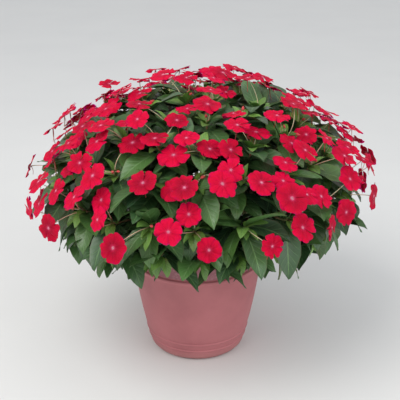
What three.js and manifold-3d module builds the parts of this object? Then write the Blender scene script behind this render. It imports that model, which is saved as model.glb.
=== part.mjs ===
// A potted garden balsam, in millimetres: +Z is up, the pot's flat underside lies on Z = 0, and the
// pot's axis is the Z axis. The clump of stems fans out of the soil into a low mound of leaves and
// blooms that spreads past the pot on all sides.
import * as THREE from "three";
import { mergeVertices } from "three/addons/utils/BufferGeometryUtils.js";
import Module from "manifold-3d";

const wasm = await Module();
wasm.setup();

// Pot
const POT_HEIGHT = 242;
const FOOT_RADIUS = 88; // of the flat underside
const WALL = { low: [97, 7], middle: [118, 99], high: [131, 190] }; // radius and height along the wall
const BEADS = [24, 41]; // heights of the two low bead lines
const BEAD = { proud: 1.4, half: 2 };
const SHOULDER = { radius: 134.5, low: 194, high: 199 };
const BAND = { radius: 131, low: 202, high: 233 }; // the part that is set back below the rim
const RIM = { radius: 137, inner: 128.5, round: 2 };
const POT_WALL = 4;
const POT_FLOOR = 7;
const POT_SIDES = 24;
const DRAIN = { count: 5, radius: 6, ring: 52, sides: 6 };

// Soil
const SOIL_LEVEL = 219; // at the pot's wall
const SOIL_CROWN = 6; // how much higher it lies at the middle
const SEAT_GAP = 0.3; // between pieces that rest on each other
const HOLE = { depth: 45, play: 0.8, sides: 4 };

// Mound, the outer surface on which the blooms stand: a flattened ball with its middle on the axis
const MOUND_LEVEL = 360; // height of its widest ring
const MOUND_RADIUS = 338;
const MOUND_RISE = 206; // from the widest ring up to the crown
const MOUND_DROP = 172; // from the widest ring down to the hem of the lowest leaves
const LEAF_BOUND = 1.05; // no leaf reaches further out than this share of the mound's size
const BLOOM_BOUND = 1.2;

// The mound isn't quite round: waves of its radius round the axis, as shares of it
const UNEVEN = [
  { share: 0.025, lobes: 1, turn: -0.3 },
  { share: 0.02, lobes: 3, turn: 1 },
];

// How far places on the mound lie off an even spread, at most, as shares of their spacing
const JITTER = { stem: 0.08, shoot: 0.12, bloom: 0.3 };

// Stems
const STEM_SPACING = 196; // between the leafy stems' heads, along the mound
const LAST_STEM = 2; // polar angle past which no stem has its head
const STEM_RADIUS = [4.6, 4.2]; // at the soil and at the head
const STEM_RING = 80; // the outermost stems stand this far from the axis
const STEM_HEAD = 0.5; // how far out the heads lie, as a share of the mound's size
const STEM_FOOT = 2; // how high above the soil a stem starts to lean
const STEM_KNEE = 0.65; // height to which it first rises, as a share of the way up to its head
const STEM_SIDES = 4;

// Shoots
const SHOOT_SPACING = 99.5;
const FORK = { first: 0.96, step: 0.12 }; // where shoots leave the stem, as shares of its upper half
const LAST_SHOOT = 2.5; // polar angle past which there is no shoot
const SHOOT_TIP = 0.8; // how far out the tips lie, as a share of the mound's size
const SHOOT_RADIUS = 2.6;
const SHOOT_LIFT = 0.45; // how much a tip turns up from the way straight out of the mound
const WHORL = { low: 12, high: 7 }; // the band that the leaves spring from, as depths below the tip

// Leaves
const LEAVES_PER_SHOOT = 3;
const LEAF_LENGTH = [78, 110];
const LEAF_WIDTH = 0.47; // as a share of its length
const LEAF_THICKNESS = 1.6; // at the midrib, from which it thins towards the edge
const LEAF_THINNING = { root: 1.25, loss: 0.5 }; // its thickness at the root, and what it loses, as shares
const LEAF_OUTLINE = { stalk: 0.1, base: 0.8, tip: 1.05, peak: 3.54 }; // as leafHalfWidth uses them
const LEAF_FOLD = 0.25; // how far the edges rise beside the midrib, as a share of the half width
const LEAF_WAVE = { height: 0.03, turns: 9 }; // of the edges, as a share of the length, and in radians
const LEAF_STALK = 1.1; // half width of the leaf stalk
const LEAF_JITTER = 0.1; // how far its turn round the shoot lies off an even whorl, as a share of a step
const LEAF_OPEN = [0.9, 1.2]; // angle from the shoot's axis
const LEAF_SAG = [0.5, 1]; // angle through which the midrib bends down
const LEAF_ROLL = 0.3; // the most that a leaf turns round its midrib
const LEAF_SECTIONS = [0.42, 0.74]; // shares of the length at which its diamond sections lie
const LEAF_RISE = 0.25; // how much a leaf turns from the side of its shoot out of the mound
const LEAF_BEND = 0.16; // the step by which a leaf is turned or lifted clear

// The skirt is a shallow cone that opens upwards from the pot's wall, and no leaf hangs below it. Its
// level is drawn for each leaf. It drops towards the clump's left and right, so that the leaves part
// over the pot's band at the front and the back.
const SKIRT = { level: [175, 275], rise: 0.42, drop: 120 };

// Blooms
const BLOOM_SPACING = 43.5;
const LAST_BLOOM = 1.8; // polar angle past which there is no bloom
const BLOOM_HEM = [1.15, 2]; // polar angles between which blooms thin out
const CROWDS = { x: 27, y: 31, across: 29, start: 2 }; // of three slow waves of crowding
const BLOOM_CROWDS = [-1.2, 0.45]; // the crowding that a place must have is drawn between these
const BLOOMS_PER_SHOOT = 3;
const BLOOM_RADIUS = [21, 28];
const PETALS = 5;
const BLOOM_FULLNESS = [0.6, 0.8]; // how far out the valleys between its petals lie
const BLOOM_HEIGHT = [-24, 12]; // of its centre above the mound
const BLOOM_TILT = { aside: 0.35, up: 0.55 }; // the most that it faces off the way out of the mound
const BLOOM_THICKNESS = 2.2; // at the eye, from which it thins towards the petals' edges
const EYE_RISE = 0.3;
const BLOOM_TRIES = 30;
const BLOOM_SHIFT = { step: 4.5, turn: 2.4 }; // each try lies further out on a spiral
const STALK_RADIUS = 1.1;
const STALK_BEND = 0.35; // how far up its one joint lies, as a share of its length
const STALK_LEAST = 20; // length
const STALK_OPEN = 1.2; // angle between the shoot and the face that a stalk springs from
const STALK_SINK = 1.5; // from the shoot's tip to the stalk's root
const STALK_KNEE = { out: 0.25, ahead: 0.38 }; // as shares of the stalk's reach
const FACING_LEAST = 0.3; // how well a face must look towards its bloom
const BEHIND_LEAST = 0.3; // how well a bloom must face away from its stalk

// How near a blade or stalk may come to one of another leafy stem, and to one of its own
const CLEAR_OF_OTHERS = 7.5;
const CLEAR_OF_OWN = 6;
const CLEAR_OF_POT = 7;
const ROOT_REACH = 14; // within this of its root, a piece may touch its own stem

const COLOURS = { pot: 0xa06568, soil: 0x2b211b, leaf: 0x3c5f3a };

const { sin, cos, sqrt, PI, max, floor, hypot } = Math;
const UP = new THREE.Vector3(0, 0, 1);
const TURN = 2 * PI;

// Random draws come from seeded streams, in a fixed order.
const SEED = 20260;
function seeded(seed) {
  let stream = seed;
  return (low, high) => {
    stream = (Math.imul(stream, 1664525) + 1013904223) >>> 0;
    return low + ((high - low) * stream) / 2 ** 32;
  };
}
const draw = seeded(SEED);
const drawLevel = seeded(SEED + 1);

const vec = (x, y, z) => new THREE.Vector3(x, y, z);
const mix = (a, b, t) => a.clone().lerp(b, t);
const along = (a, direction, distance) => a.clone().addScaledVector(direction, distance);
const count = (n) => Array.from({ length: n }, (_, i) => i);

// A point on the curve from start to end that is drawn towards middle.
const bow = (start, middle, end, t) => mix(mix(start, middle, t), mix(middle, end, t), t);

// The mound's height above or below its widest ring, for its upper and its lower half.
const moundDepth = (level) => (level > 0 ? MOUND_RISE : MOUND_DROP);

// The mound's radius as a share of the mean, by azimuth.
const unevenness = (azimuth) =>
  UNEVEN.reduce((sum, { share, lobes, turn }) => sum + share * cos(lobes * azimuth + turn), 1);

// A point of the mound at a polar angle from the crown and an azimuth, with its size scaled by share.
function moundPoint(polar, azimuth, share) {
  const r = share * unevenness(azimuth) * MOUND_RADIUS * sin(polar);
  const height = share * cos(polar) * moundDepth(cos(polar));
  return vec(r * cos(azimuth), r * sin(azimuth), MOUND_LEVEL + height);
}

// The direction straight out of the mound there.
function moundNormal(polar, azimuth) {
  const out = sin(polar) / MOUND_RADIUS;
  return vec(out * cos(azimuth), out * sin(azimuth), cos(polar) / moundDepth(cos(polar))).normalize();
}

// How far out a point lies, as a share of the mound's size.
function moundShare(p) {
  const r = hypot(p.x, p.y) / (MOUND_RADIUS * unevenness(Math.atan2(p.y, p.x)));
  return hypot(r, (p.z - MOUND_LEVEL) / moundDepth(p.z - MOUND_LEVEL));
}

const FIRST_RING = 0.42; // radius of the ring round the crown, as a share of the spacing

// Evenly spread places on the mound: rings a spacing apart, with as many places as fit on each.
function spread(spacing, lastPolar, jitter) {
  const places = [];
  let polar = (FIRST_RING * spacing) / MOUND_RADIUS;
  while (polar < lastPolar) {
    const fitting = max(1, floor((TURN * MOUND_RADIUS * sin(polar)) / spacing + 0.5));
    const start = draw(0, TURN);
    for (let i = 0; i < fitting; i++) {
      const azimuth = start + (TURN * (i + draw(-jitter, jitter))) / fitting;
      places.push({ polar: polar + (draw(-jitter, jitter) * spacing) / MOUND_RADIUS, azimuth });
    }
    polar += spacing / hypot(MOUND_RADIUS * cos(polar), moundDepth(cos(polar)) * sin(polar));
  }
  return places;
}

// What the clump already fills: the points of each stem, shoot, bloom and leaf.
const filled = [];

function piece(stem, points) {
  const middle = points.reduce((sum, p) => sum.add(p), vec(0, 0, 0)).divideScalar(points.length);
  return { stem, points, middle, reach: max(...points.map((p) => p.distanceTo(middle))) };
}

// Whether a new piece stays inside the mound and clear of the pot and of all that is already there.
function isClear(added, root, bound) {
  const top = POT_HEIGHT + CLEAR_OF_POT;
  const overPot = (p) => p.z < top && hypot(p.x, p.y) < RIM.radius + CLEAR_OF_POT;
  if (added.points.some((p) => overPot(p) || moundShare(p) > bound)) return false;
  return filled.every((other) => {
    const own = other.stem === added.stem;
    const gap = own ? CLEAR_OF_OWN : CLEAR_OF_OTHERS;
    if (added.middle.distanceTo(other.middle) > added.reach + other.reach + gap) return true;
    const tested = own ? added.points.filter((p) => p.distanceTo(root) > ROOT_REACH) : added.points;
    return tested.every((p) => other.points.every((q) => p.distanceTo(q) > gap));
  });
}

// The item of a list with the least score.
const least = (list, score) => list.reduce((a, b) => (score(a) <= score(b) ? a : b));

const SAMPLES = 16; // points along each half of a stem, and along a shoot

// The main stems rise straight out of the soil and lean out to their heads.
function placeStems() {
  return spread(STEM_SPACING, LAST_STEM, JITTER.stem).map(({ polar, azimuth }) => {
    const ring = (STEM_RING * polar) / LAST_STEM;
    const foot = vec(ring * cos(azimuth), ring * sin(azimuth), SOIL_LEVEL + SOIL_CROWN + STEM_FOOT);
    const head = moundPoint(polar, azimuth, STEM_HEAD);
    const knee = vec(foot.x, foot.y, mix(foot, head, STEM_KNEE).z);
    const elbow = bow(foot, knee, head, 0.5);
    const stem = { foot, elbow, head, shoots: [] };
    const points = count(SAMPLES).flatMap((i) => [
      mix(foot, elbow, i / SAMPLES),
      mix(elbow, head, (i + 1) / SAMPLES),
    ]);
    filled.push(piece(stem, points));
    return stem;
  });
}

// Each shoot leaves the main stem whose head is nearest, and turns towards the light at its tip.
function placeShoots(stems) {
  return spread(SHOOT_SPACING, LAST_SHOOT, JITTER.shoot).map(({ polar, azimuth }) => {
    const tip = moundPoint(polar, azimuth, SHOOT_TIP);
    const normal = moundNormal(polar, azimuth);
    const axis = along(normal, UP, SHOOT_LIFT).normalize();
    const stem = least(stems, ({ head }) => head.distanceTo(tip));
    const start = mix(stem.elbow, stem.head, FORK.first - FORK.step * stem.shoots.length);
    const neck = along(tip, axis, -WHORL.low);
    const sideways = vec(-sin(azimuth), cos(azimuth), 0);
    const frame = { axis, normal, sideways, upwards: axis.clone().cross(sideways), turn: draw(0, TURN) };
    const shoot = { stem, start, neck, tip, ...frame, leaves: [], blooms: [] };
    const points = count(SAMPLES).map((i) => mix(start, neck, i / (SAMPLES - 1))).slice(1);
    filled.push(piece(stem, [...points, tip]));
    stem.shoots.push(shoot);
    return shoot;
  });
}

// A direction that opens from a shoot's axis by an angle, at a turn round that axis.
function openFrom(shoot, open, turn) {
  const ahead = shoot.axis.clone().multiplyScalar(cos(open));
  ahead.addScaledVector(shoot.sideways, sin(open) * cos(turn));
  return ahead.addScaledVector(shoot.upwards, sin(open) * sin(turn));
}

// The side of a shoot's tip, of three, that looks towards a point best and isn't in use, if any does.
function freeSide(shoot, point) {
  const towards = point.clone().sub(shoot.tip).normalize();
  const free = count(3).filter((k) => !shoot.blooms.some((bloom) => bloom.side === k));
  const outOf = (side) => openFrom(shoot, STALK_OPEN, shoot.turn + (TURN * side) / 3);
  const best = least(free.map((side) => ({ side, out: outOf(side) })), ({ out }) => -out.dot(towards));
  return best.out.dot(towards) > FACING_LEAST ? best : undefined;
}

// A bloom with its centre at a point, and the stalk that carries it from the nearest open shoot.
function bloomAt(shoots, centre, facing, rest) {
  const open = shoots.filter(({ blooms }) => blooms.length < BLOOMS_PER_SHOOT);
  const shoot = least(open, ({ tip }) => tip.distanceTo(centre));
  const best = freeSide(shoot, centre);
  if (!best) return undefined;
  const root = along(shoot.tip, best.out, STALK_SINK);
  const reach = root.distanceTo(centre);
  const behind = centre.clone().sub(root).normalize().dot(facing);
  if (reach < STALK_LEAST || behind < BEHIND_LEAST) return undefined;
  const knee = along(along(root, best.out, STALK_KNEE.out * reach), shoot.axis, STALK_KNEE.ahead * reach);
  return { shoot, side: best.side, root, knee, centre, facing, ...rest };
}

// How thickly blooms stand at a point, from -1 to 1: three slow waves laid over each other.
const crowding = ({ x, y, z }) =>
  (sin(x / CROWDS.x + CROWDS.start) + sin(y / CROWDS.y) + sin((x + z) / CROWDS.across)) / 3;

// A bloom faces out of the mound on a stalk from the nearest shoot's tip. Blooms stand in loose crowds
// and thin out towards the hem. Where a bloom's place is filled, it moves along the mound.
function placeBlooms(shoots) {
  const { aside, up } = BLOOM_TILT;
  for (const { polar, azimuth } of spread(BLOOM_SPACING, LAST_BLOOM, JITTER.bloom)) {
    const radius = draw(...BLOOM_RADIUS);
    const roll = draw(0, TURN);
    const fullness = draw(...BLOOM_FULLNESS);
    const height = draw(...BLOOM_HEIGHT);
    const tilt = vec(draw(-aside, aside), draw(-aside, aside), draw(0, up));
    const normal = moundNormal(polar, azimuth);
    const facing = normal.clone().add(tilt).normalize();
    const sideways = vec(-sin(azimuth), cos(azimuth), 0);
    const upwards = normal.clone().cross(sideways);
    const home = along(moundPoint(polar, azimuth, 1), normal, height);
    const pastHem = draw(...BLOOM_HEM) < polar;
    const inGap = draw(...BLOOM_CROWDS) > crowding(home);
    if (pastHem || inGap) continue;
    for (const i of count(BLOOM_TRIES)) {
      const [shift, turn] = [BLOOM_SHIFT.step * sqrt(i), BLOOM_SHIFT.turn * i];
      const centre = along(along(home, sideways, shift * cos(turn)), upwards, shift * sin(turn));
      const bloom = bloomAt(shoots, centre, facing, { radius, roll, fullness, sideways });
      if (!bloom) continue;
      const added = piece(bloom.shoot.stem, bloomPoints(bloom));
      if (!isClear(added, bloom.root, BLOOM_BOUND)) continue;
      filled.push(added);
      bloom.shoot.blooms.push(bloom);
      break;
    }
  }
}

// A petalled rim: for each petal, a valley and the two corners of its broad end. One corner rides over
// the next petal and the other slips under.
const petalCorners = (fullness) => [
  { turn: -36, reach: fullness, lift: 0 },
  { turn: -18, reach: 1, lift: 0.16 },
  { turn: 17, reach: 1, lift: -0.02 },
];
function bloomRim({ centre, facing, radius, roll, fullness, sideways }) {
  const over = facing.clone().cross(sideways).normalize();
  const across = over.clone().cross(facing);
  return count(PETALS).flatMap((petal) =>
    petalCorners(fullness).map(({ turn, reach, lift }) => {
      const angle = roll + TURN * (petal / PETALS + turn / 360);
      const p = along(centre, across, radius * reach * cos(angle));
      p.addScaledVector(over, radius * reach * sin(angle));
      return p.addScaledVector(facing, radius * lift);
    }),
  );
}

// Points over a bloom's disc and along its stalk, to tell where it is clear.
const DISC_RINGS = [1, 0.75, 0.4];
const STALK_SAMPLES = 10;
function bloomPoints(bloom) {
  const { root, knee, centre } = bloom;
  const rim = bloomRim(bloom).flatMap((p, i, all) => [p, mix(p, all[(i + 1) % all.length], 0.5)]);
  const disc = DISC_RINGS.flatMap((share) => rim.map((p) => mix(centre, p, share)));
  const stalk = count(STALK_SAMPLES).map((i) => bow(root, knee, centre, (i + 1) / STALK_SAMPLES));
  return [...disc, ...stalk];
}

// Lance-shaped: narrow at the leaf stalk, widest before the middle, drawn out to a point.
function leafHalfWidth(length, s) {
  const { stalk, base, tip, peak } = LEAF_OUTLINE;
  const u = max(0, (s - stalk) / (1 - stalk));
  const blade = peak * u ** base * (1 - u) ** tip; // 1 where it is widest
  return LEAF_STALK * (1 - s) + ((LEAF_WIDTH * length) / 2 - LEAF_STALK) * blade;
}

// A leaf as a curved blade: s runs from its root to its tip and t across from edge to edge. The
// midrib sags along an arc, and the blade folds up a little on both sides of it.
function leafPoint({ root, ahead, down, side, sag, roll, phase, length }, s, t, lift = 0) {
  const bent = sag * s;
  const p = along(root, ahead, (length * sin(bent)) / sag);
  p.addScaledVector(down, (length * (1 - cos(bent))) / sag);
  const top = ahead.clone().multiplyScalar(sin(bent)).addScaledVector(down, -cos(bent));
  const half = leafHalfWidth(length, s);
  const wave = LEAF_WAVE.height * length * t * s * sin(LEAF_WAVE.turns * s + phase + t);
  const rise = LEAF_FOLD * half * t * t + wave + lift;
  p.addScaledVector(side, t * half * cos(roll) - rise * sin(roll));
  return p.addScaledVector(top, t * half * sin(roll) + rise * cos(roll));
}

// Points over a leaf, to tell where it is clear.
const LEAF_ROWS = 11;
const LEAF_LINES = [-0.9, -0.45, 0, 0.45, 0.9];
function leafPoints(leaf) {
  const rows = count(LEAF_ROWS).map((i) => (i + 1) / LEAF_ROWS);
  return rows.flatMap((s) => LEAF_LINES.map((t) => leafPoint(leaf, s, t)));
}

// How far a point lies above the skirt where its level is 0.
function aboveSkirt({ x, y, z }) {
  const out = hypot(x, y);
  return z - SKIRT.rise * (out - RIM.radius) + SKIRT.drop * (x / out) ** 2;
}

// Leaves stand in a whorl round each shoot's tip. A leaf that would cross something or hang too low is
// turned and lifted, and at last made shorter, until it is clear.
const TURNS = [0, 1, -1, 2, -2, 3, -3];
const LIFTS = [0, 1, 2, -1, 3];
const SIZES = [1, 0.85, 0.7];
const BENDS = SIZES.flatMap((size) =>
  TURNS.flatMap((turn) => LIFTS.map((lift) => ({ size, turn, lift }))),
);
function placeLeaves(shoots) {
  for (const shoot of shoots) {
    for (const place of count(LEAVES_PER_SHOOT)) {
      const jitter = draw(-LEAF_JITTER, LEAF_JITTER);
      const around = shoot.turn + TURN * ((place + jitter) / LEAVES_PER_SHOOT);
      const open = draw(...LEAF_OPEN);
      const longest = draw(...LEAF_LENGTH);
      const shape = { sag: draw(...LEAF_SAG), roll: draw(-LEAF_ROLL, LEAF_ROLL), phase: draw(0, TURN) };
      const level = drawLevel(...SKIRT.level);
      const root = along(shoot.tip, shoot.axis, -(WHORL.low + WHORL.high) / 2);
      for (const { size, turn, lift } of BENDS) {
        const ahead = openFrom(shoot, open + LEAF_BEND * lift, around + LEAF_BEND * turn);
        ahead.addScaledVector(shoot.normal, LEAF_RISE).normalize();
        const down = vec(0, 0, -1).addScaledVector(ahead, ahead.z).normalize();
        const side = down.clone().cross(ahead);
        const leaf = { root, ahead, down, side, length: size * longest, ...shape };
        const added = piece(shoot.stem, leafPoints(leaf));
        if (added.points.some((p) => aboveSkirt(p) < level)) continue;
        if (!isClear(added, root, LEAF_BOUND)) continue;
        filled.push(added);
        shoot.leaves[place] = leaf;
        break;
      }
    }
  }
}

// A mesh that grows ring by ring. Rings and triangles run anticlockwise, seen from outside.
class Growth {
  points = [];
  triangles = [];

  ring(points) {
    this.points.push(...points);
    return points.map((_, i) => this.points.length - points.length + i);
  }

  // Joins a loop, turned to lie nearest, to a ring of as many new points. Every second quad is split
  // the other way, which splits a blade alike on both its faces.
  reach(loop, points) {
    const n = loop.length;
    const distance = (turn) =>
      points.reduce((sum, p, i) => sum + p.distanceTo(this.points[loop[(i + turn) % n]]), 0);
    const turn = least(count(n), distance);
    const from = loop.map((_, i) => loop[(i + turn) % n]);
    const ring = this.ring(points);
    for (const i of count(n)) {
      const j = (i + 1) % n;
      if (i % 2) this.triangles.push([from[i], from[j], ring[i]], [from[j], ring[j], ring[i]]);
      else this.triangles.push([from[i], from[j], ring[j]], [from[i], ring[j], ring[i]]);
    }
    return ring;
  }

  // Closes a loop on a new point.
  close(loop, tip) {
    const [end] = this.ring([tip]);
    loop.forEach((a, i) => this.triangles.push([a, loop[(i + 1) % loop.length], end]));
  }

  // Closes a loop with a flat face.
  cap(loop) {
    for (let i = 1; i < loop.length - 1; i++) this.triangles.push([loop[0], loop[i], loop[i + 1]]);
  }

  solid() {
    return new wasm.Manifold(
      new wasm.Mesh({
        numProp: 3,
        vertProperties: Float32Array.from(this.points.flatMap((p) => p.toArray())),
        triVerts: Uint32Array.from(this.triangles.flat()),
      }),
    );
  }
}

// A ring of points square to a direction, anticlockwise seen from where that points to. Its first
// point lies towards another direction.
function ringAt(middle, ahead, towards, radius, sides) {
  const x = along(towards, ahead, -towards.dot(ahead)).normalize();
  const y = ahead.clone().cross(x);
  return count(sides).map((k) => {
    const angle = (TURN * k) / sides;
    return along(along(middle, x, radius * cos(angle)), y, radius * sin(angle));
  });
}

// Grows a leaf out of a loop through two diamond sections to its tip.
function growLeaf(mesh, loop, leaf) {
  let edge = loop;
  for (const s of LEAF_SECTIONS) {
    const half = (LEAF_THICKNESS / 2) * (LEAF_THINNING.root - LEAF_THINNING.loss * s);
    const [right, bottom] = [leafPoint(leaf, s, 1), leafPoint(leaf, s, 0, -half)];
    const [left, top] = [leafPoint(leaf, s, -1), leafPoint(leaf, s, 0, half)];
    edge = mesh.reach(edge, [right, bottom, left, top]);
  }
  mesh.close(edge, leafPoint(leaf, 1, 0));
}

// Grows a bloom out of a three-sided loop: its stalk, its back, the petalled rim and the eye.
function growBloom(mesh, loop, bloom) {
  const { root, knee, centre, facing } = bloom;
  const back = along(centre, facing, -BLOOM_THICKNESS);
  const joint = bow(root, knee, back, STALK_BEND);
  const ahead = back.clone().sub(root).normalize();
  const spoke = (index, hub) => mesh.points[index].clone().sub(hub);
  const lower = mesh.reach(loop, ringAt(joint, ahead, spoke(loop[0], root), STALK_RADIUS, 3));
  const upper = mesh.reach(lower, ringAt(back, facing, spoke(lower[0], joint), STALK_RADIUS, 3));
  const outline = bloomRim(bloom);
  const around = outline.length;
  const third = around / 3; // of the rim, which each corner of the stalk carries
  const nearest = least(count(PETALS), (k) => outline[3 * k].distanceTo(mesh.points[upper[0]]));
  const first = 3 * nearest + around - floor(third / 2);
  const rim = mesh.ring(outline.map((_, i) => outline[(i + first) % around]));
  for (const i of count(around)) {
    mesh.triangles.push([upper[floor(i / third)], rim[(i + 1) % around], rim[i]]);
  }
  for (const j of count(3)) {
    mesh.triangles.push([upper[j], upper[(j + 1) % 3], rim[(third * (j + 1)) % around]]);
  }
  mesh.close(rim, along(centre, facing, EYE_RISE));
}

// A shoot with its whorl of leaves and its blooms, grown as one mesh.
function growShoot(shoot) {
  const { start, neck, tip, axis, turn, leaves, blooms } = shoot;
  const mesh = new Growth();
  const corner = openFrom(shoot, PI / 2, turn - TURN / 6);
  const foot = mesh.ring(ringAt(start, neck.clone().sub(start).normalize(), corner, SHOOT_RADIUS, 3));
  mesh.cap([...foot].reverse());
  const low = mesh.reach(foot, ringAt(neck, axis, corner, SHOOT_RADIUS, 3));
  const high = mesh.ring(ringAt(along(tip, axis, -WHORL.high), axis, corner, SHOOT_RADIUS, 3));
  const [top] = mesh.ring([tip]);
  for (const side of count(3)) {
    const next = (side + 1) % 3;
    const face = [low[side], low[next], high[next], high[side]];
    if (leaves[side]) growLeaf(mesh, face, leaves[side]);
    else mesh.cap(face);
    const facet = [high[side], high[next], top];
    const bloom = blooms.find((one) => one.side === side);
    if (bloom) growBloom(mesh, facet, bloom);
    else mesh.cap(facet);
  }
  return mesh.solid();
}

// A main stem as a square tube, from the bottom of its hole to its head.
function growStem({ foot, elbow, head }) {
  const mesh = new Growth();
  const bottom = vec(foot.x, foot.y, SOIL_LEVEL - HOLE.depth + SEAT_GAP);
  const [thick, thin] = STEM_RADIUS;
  const rings = [
    [bottom, UP, thick],
    [foot, UP, thick],
    [elbow, head.clone().sub(foot).normalize(), (thick + thin) / 2],
    [head, head.clone().sub(elbow).normalize(), thin],
  ].map(([middle, ahead, radius]) => ringAt(middle, ahead, vec(1, 0, 0), radius, STEM_SIDES));
  const first = mesh.ring(rings[0]);
  mesh.cap([...first].reverse());
  mesh.cap(rings.slice(1).reduce((ring, points) => mesh.reach(ring, points), first));
  return mesh.solid();
}

function leafyStem(stem) {
  return wasm.Manifold.union([growStem(stem), ...stem.shoots.map(growShoot)]);
}

// The wall's radius at a height: the parabola through its low, middle and high points.
function wallRadius(z) {
  const points = Object.values(WALL);
  return points.reduce((sum, [radius, height], i) => {
    const others = points.filter((_, k) => k !== i);
    return sum + others.reduce((product, [, other]) => (product * (z - other)) / (height - other), radius);
  }, 0);
}

// A closed shape of revolution round the Z axis, from its half section.
function turned(section) {
  const lathe = new THREE.LatheGeometry(section.map(([r, z]) => new THREE.Vector2(r, z)), POT_SIDES);
  lathe.rotateX(PI / 2);
  return solidOf(lathe);
}

function solidOf(geometry) {
  geometry.deleteAttribute("normal");
  geometry.deleteAttribute("uv");
  const merged = mergeVertices(geometry, 1e-4);
  return new wasm.Manifold(
    new wasm.Mesh({
      numProp: 3,
      vertProperties: merged.attributes.position.array,
      triVerts: new Uint32Array(merged.index.array),
    }),
  );
}

// An upright prism to cut a hole with.
function upright([x, y], radius, sides, low, high) {
  const prism = new THREE.CylinderGeometry(radius, radius, high - low, sides);
  prism.rotateX(PI / 2);
  prism.translate(x, y, (low + high) / 2);
  return solidOf(prism);
}

function makePot() {
  const bead = (z) => [
    [wallRadius(z - BEAD.half), z - BEAD.half],
    [wallRadius(z) + BEAD.proud, z],
    [wallRadius(z + BEAD.half), z + BEAD.half],
  ];
  const outside = [
    [0, 0],
    [FOOT_RADIUS, 0],
    WALL.low,
    ...BEADS.flatMap(bead),
    WALL.middle,
    WALL.high,
    [SHOULDER.radius, SHOULDER.low],
    [SHOULDER.radius, SHOULDER.high],
    [BAND.radius, BAND.low],
    [BAND.radius, BAND.high],
    [RIM.radius, BAND.high + RIM.round],
    [RIM.radius, POT_HEIGHT - RIM.round],
    [RIM.radius - RIM.round, POT_HEIGHT],
    [RIM.inner, POT_HEIGHT],
  ];
  const inside = [WALL.high, WALL.middle, WALL.low].map(([r, z]) => [r - POT_WALL, z]);
  const shell = turned([...outside, ...inside, [0, POT_FLOOR]]);
  const drains = count(DRAIN.count).map((k) => {
    const angle = (TURN * k) / DRAIN.count;
    const middle = [DRAIN.ring * cos(angle), DRAIN.ring * sin(angle)];
    return upright(middle, DRAIN.radius, DRAIN.sides, -POT_FLOOR, 2 * POT_FLOOR);
  });
  return shell.subtract(wasm.Manifold.union(drains));
}

// The soil fills the pot to a little below its rim, and each main stem stands in a plain hole in it.
function makeSoil(stems) {
  const inside = (radius) => radius - POT_WALL - SEAT_GAP;
  const bottom = POT_FLOOR + SEAT_GAP;
  const plug = turned([
    [0, bottom],
    [inside(wallRadius(bottom)) - SEAT_GAP, bottom],
    [inside(WALL.middle[0]), WALL.middle[1]],
    [inside(WALL.high[0]), WALL.high[1]],
    [inside(WALL.high[0]), SOIL_LEVEL],
    [0, SOIL_LEVEL + SOIL_CROWN],
  ]);
  const holes = stems.map(({ foot }) => {
    const radius = (STEM_RADIUS[0] + HOLE.play) / cos(PI / HOLE.sides);
    return upright([foot.x, foot.y], radius, HOLE.sides, SOIL_LEVEL - HOLE.depth, POT_HEIGHT);
  });
  return plug.subtract(wasm.Manifold.union(holes));
}

function mesh(name, made, colour, roughness) {
  const { vertProperties, triVerts } = made.getMesh();
  const geometry = new THREE.BufferGeometry();
  geometry.setAttribute("position", new THREE.BufferAttribute(vertProperties, 3));
  geometry.setIndex(new THREE.BufferAttribute(triVerts, 1));
  geometry.computeVertexNormals();
  const material = new THREE.MeshStandardMaterial({ color: colour, roughness, metalness: 0 });
  const named = new THREE.Mesh(geometry, material);
  named.name = name;
  return named;
}

const stems = placeStems();
const shoots = placeShoots(stems);
placeBlooms(shoots);
placeLeaves(shoots);

const plant = new THREE.Group();
plant.add(mesh("pot", makePot(), COLOURS.pot, 0.6));
plant.add(mesh("soil", makeSoil(stems), COLOURS.soil, 1));
stems.forEach((stem, i) => {
  const name = `leafy_stem_${String(i + 1).padStart(2, "0")}`;
  plant.add(mesh(name, leafyStem(stem), COLOURS.leaf, 0.5));
});

export default plant;
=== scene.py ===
"""Dresses the potted garden balsam: fine leaves and blooms, the moulded pot, soil, light and camera.

The clump is laid out by the same rule, with the same seeded draws, as the solids that it stands for, so
every fine leaf and bloom lies where its solid lies. The rule works in millimetres, and meshes are in
metres.
"""

import itertools
import logging
import math
from dataclasses import dataclass, field, replace
from enum import Enum
from typing import Any, Iterator, Sequence

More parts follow.
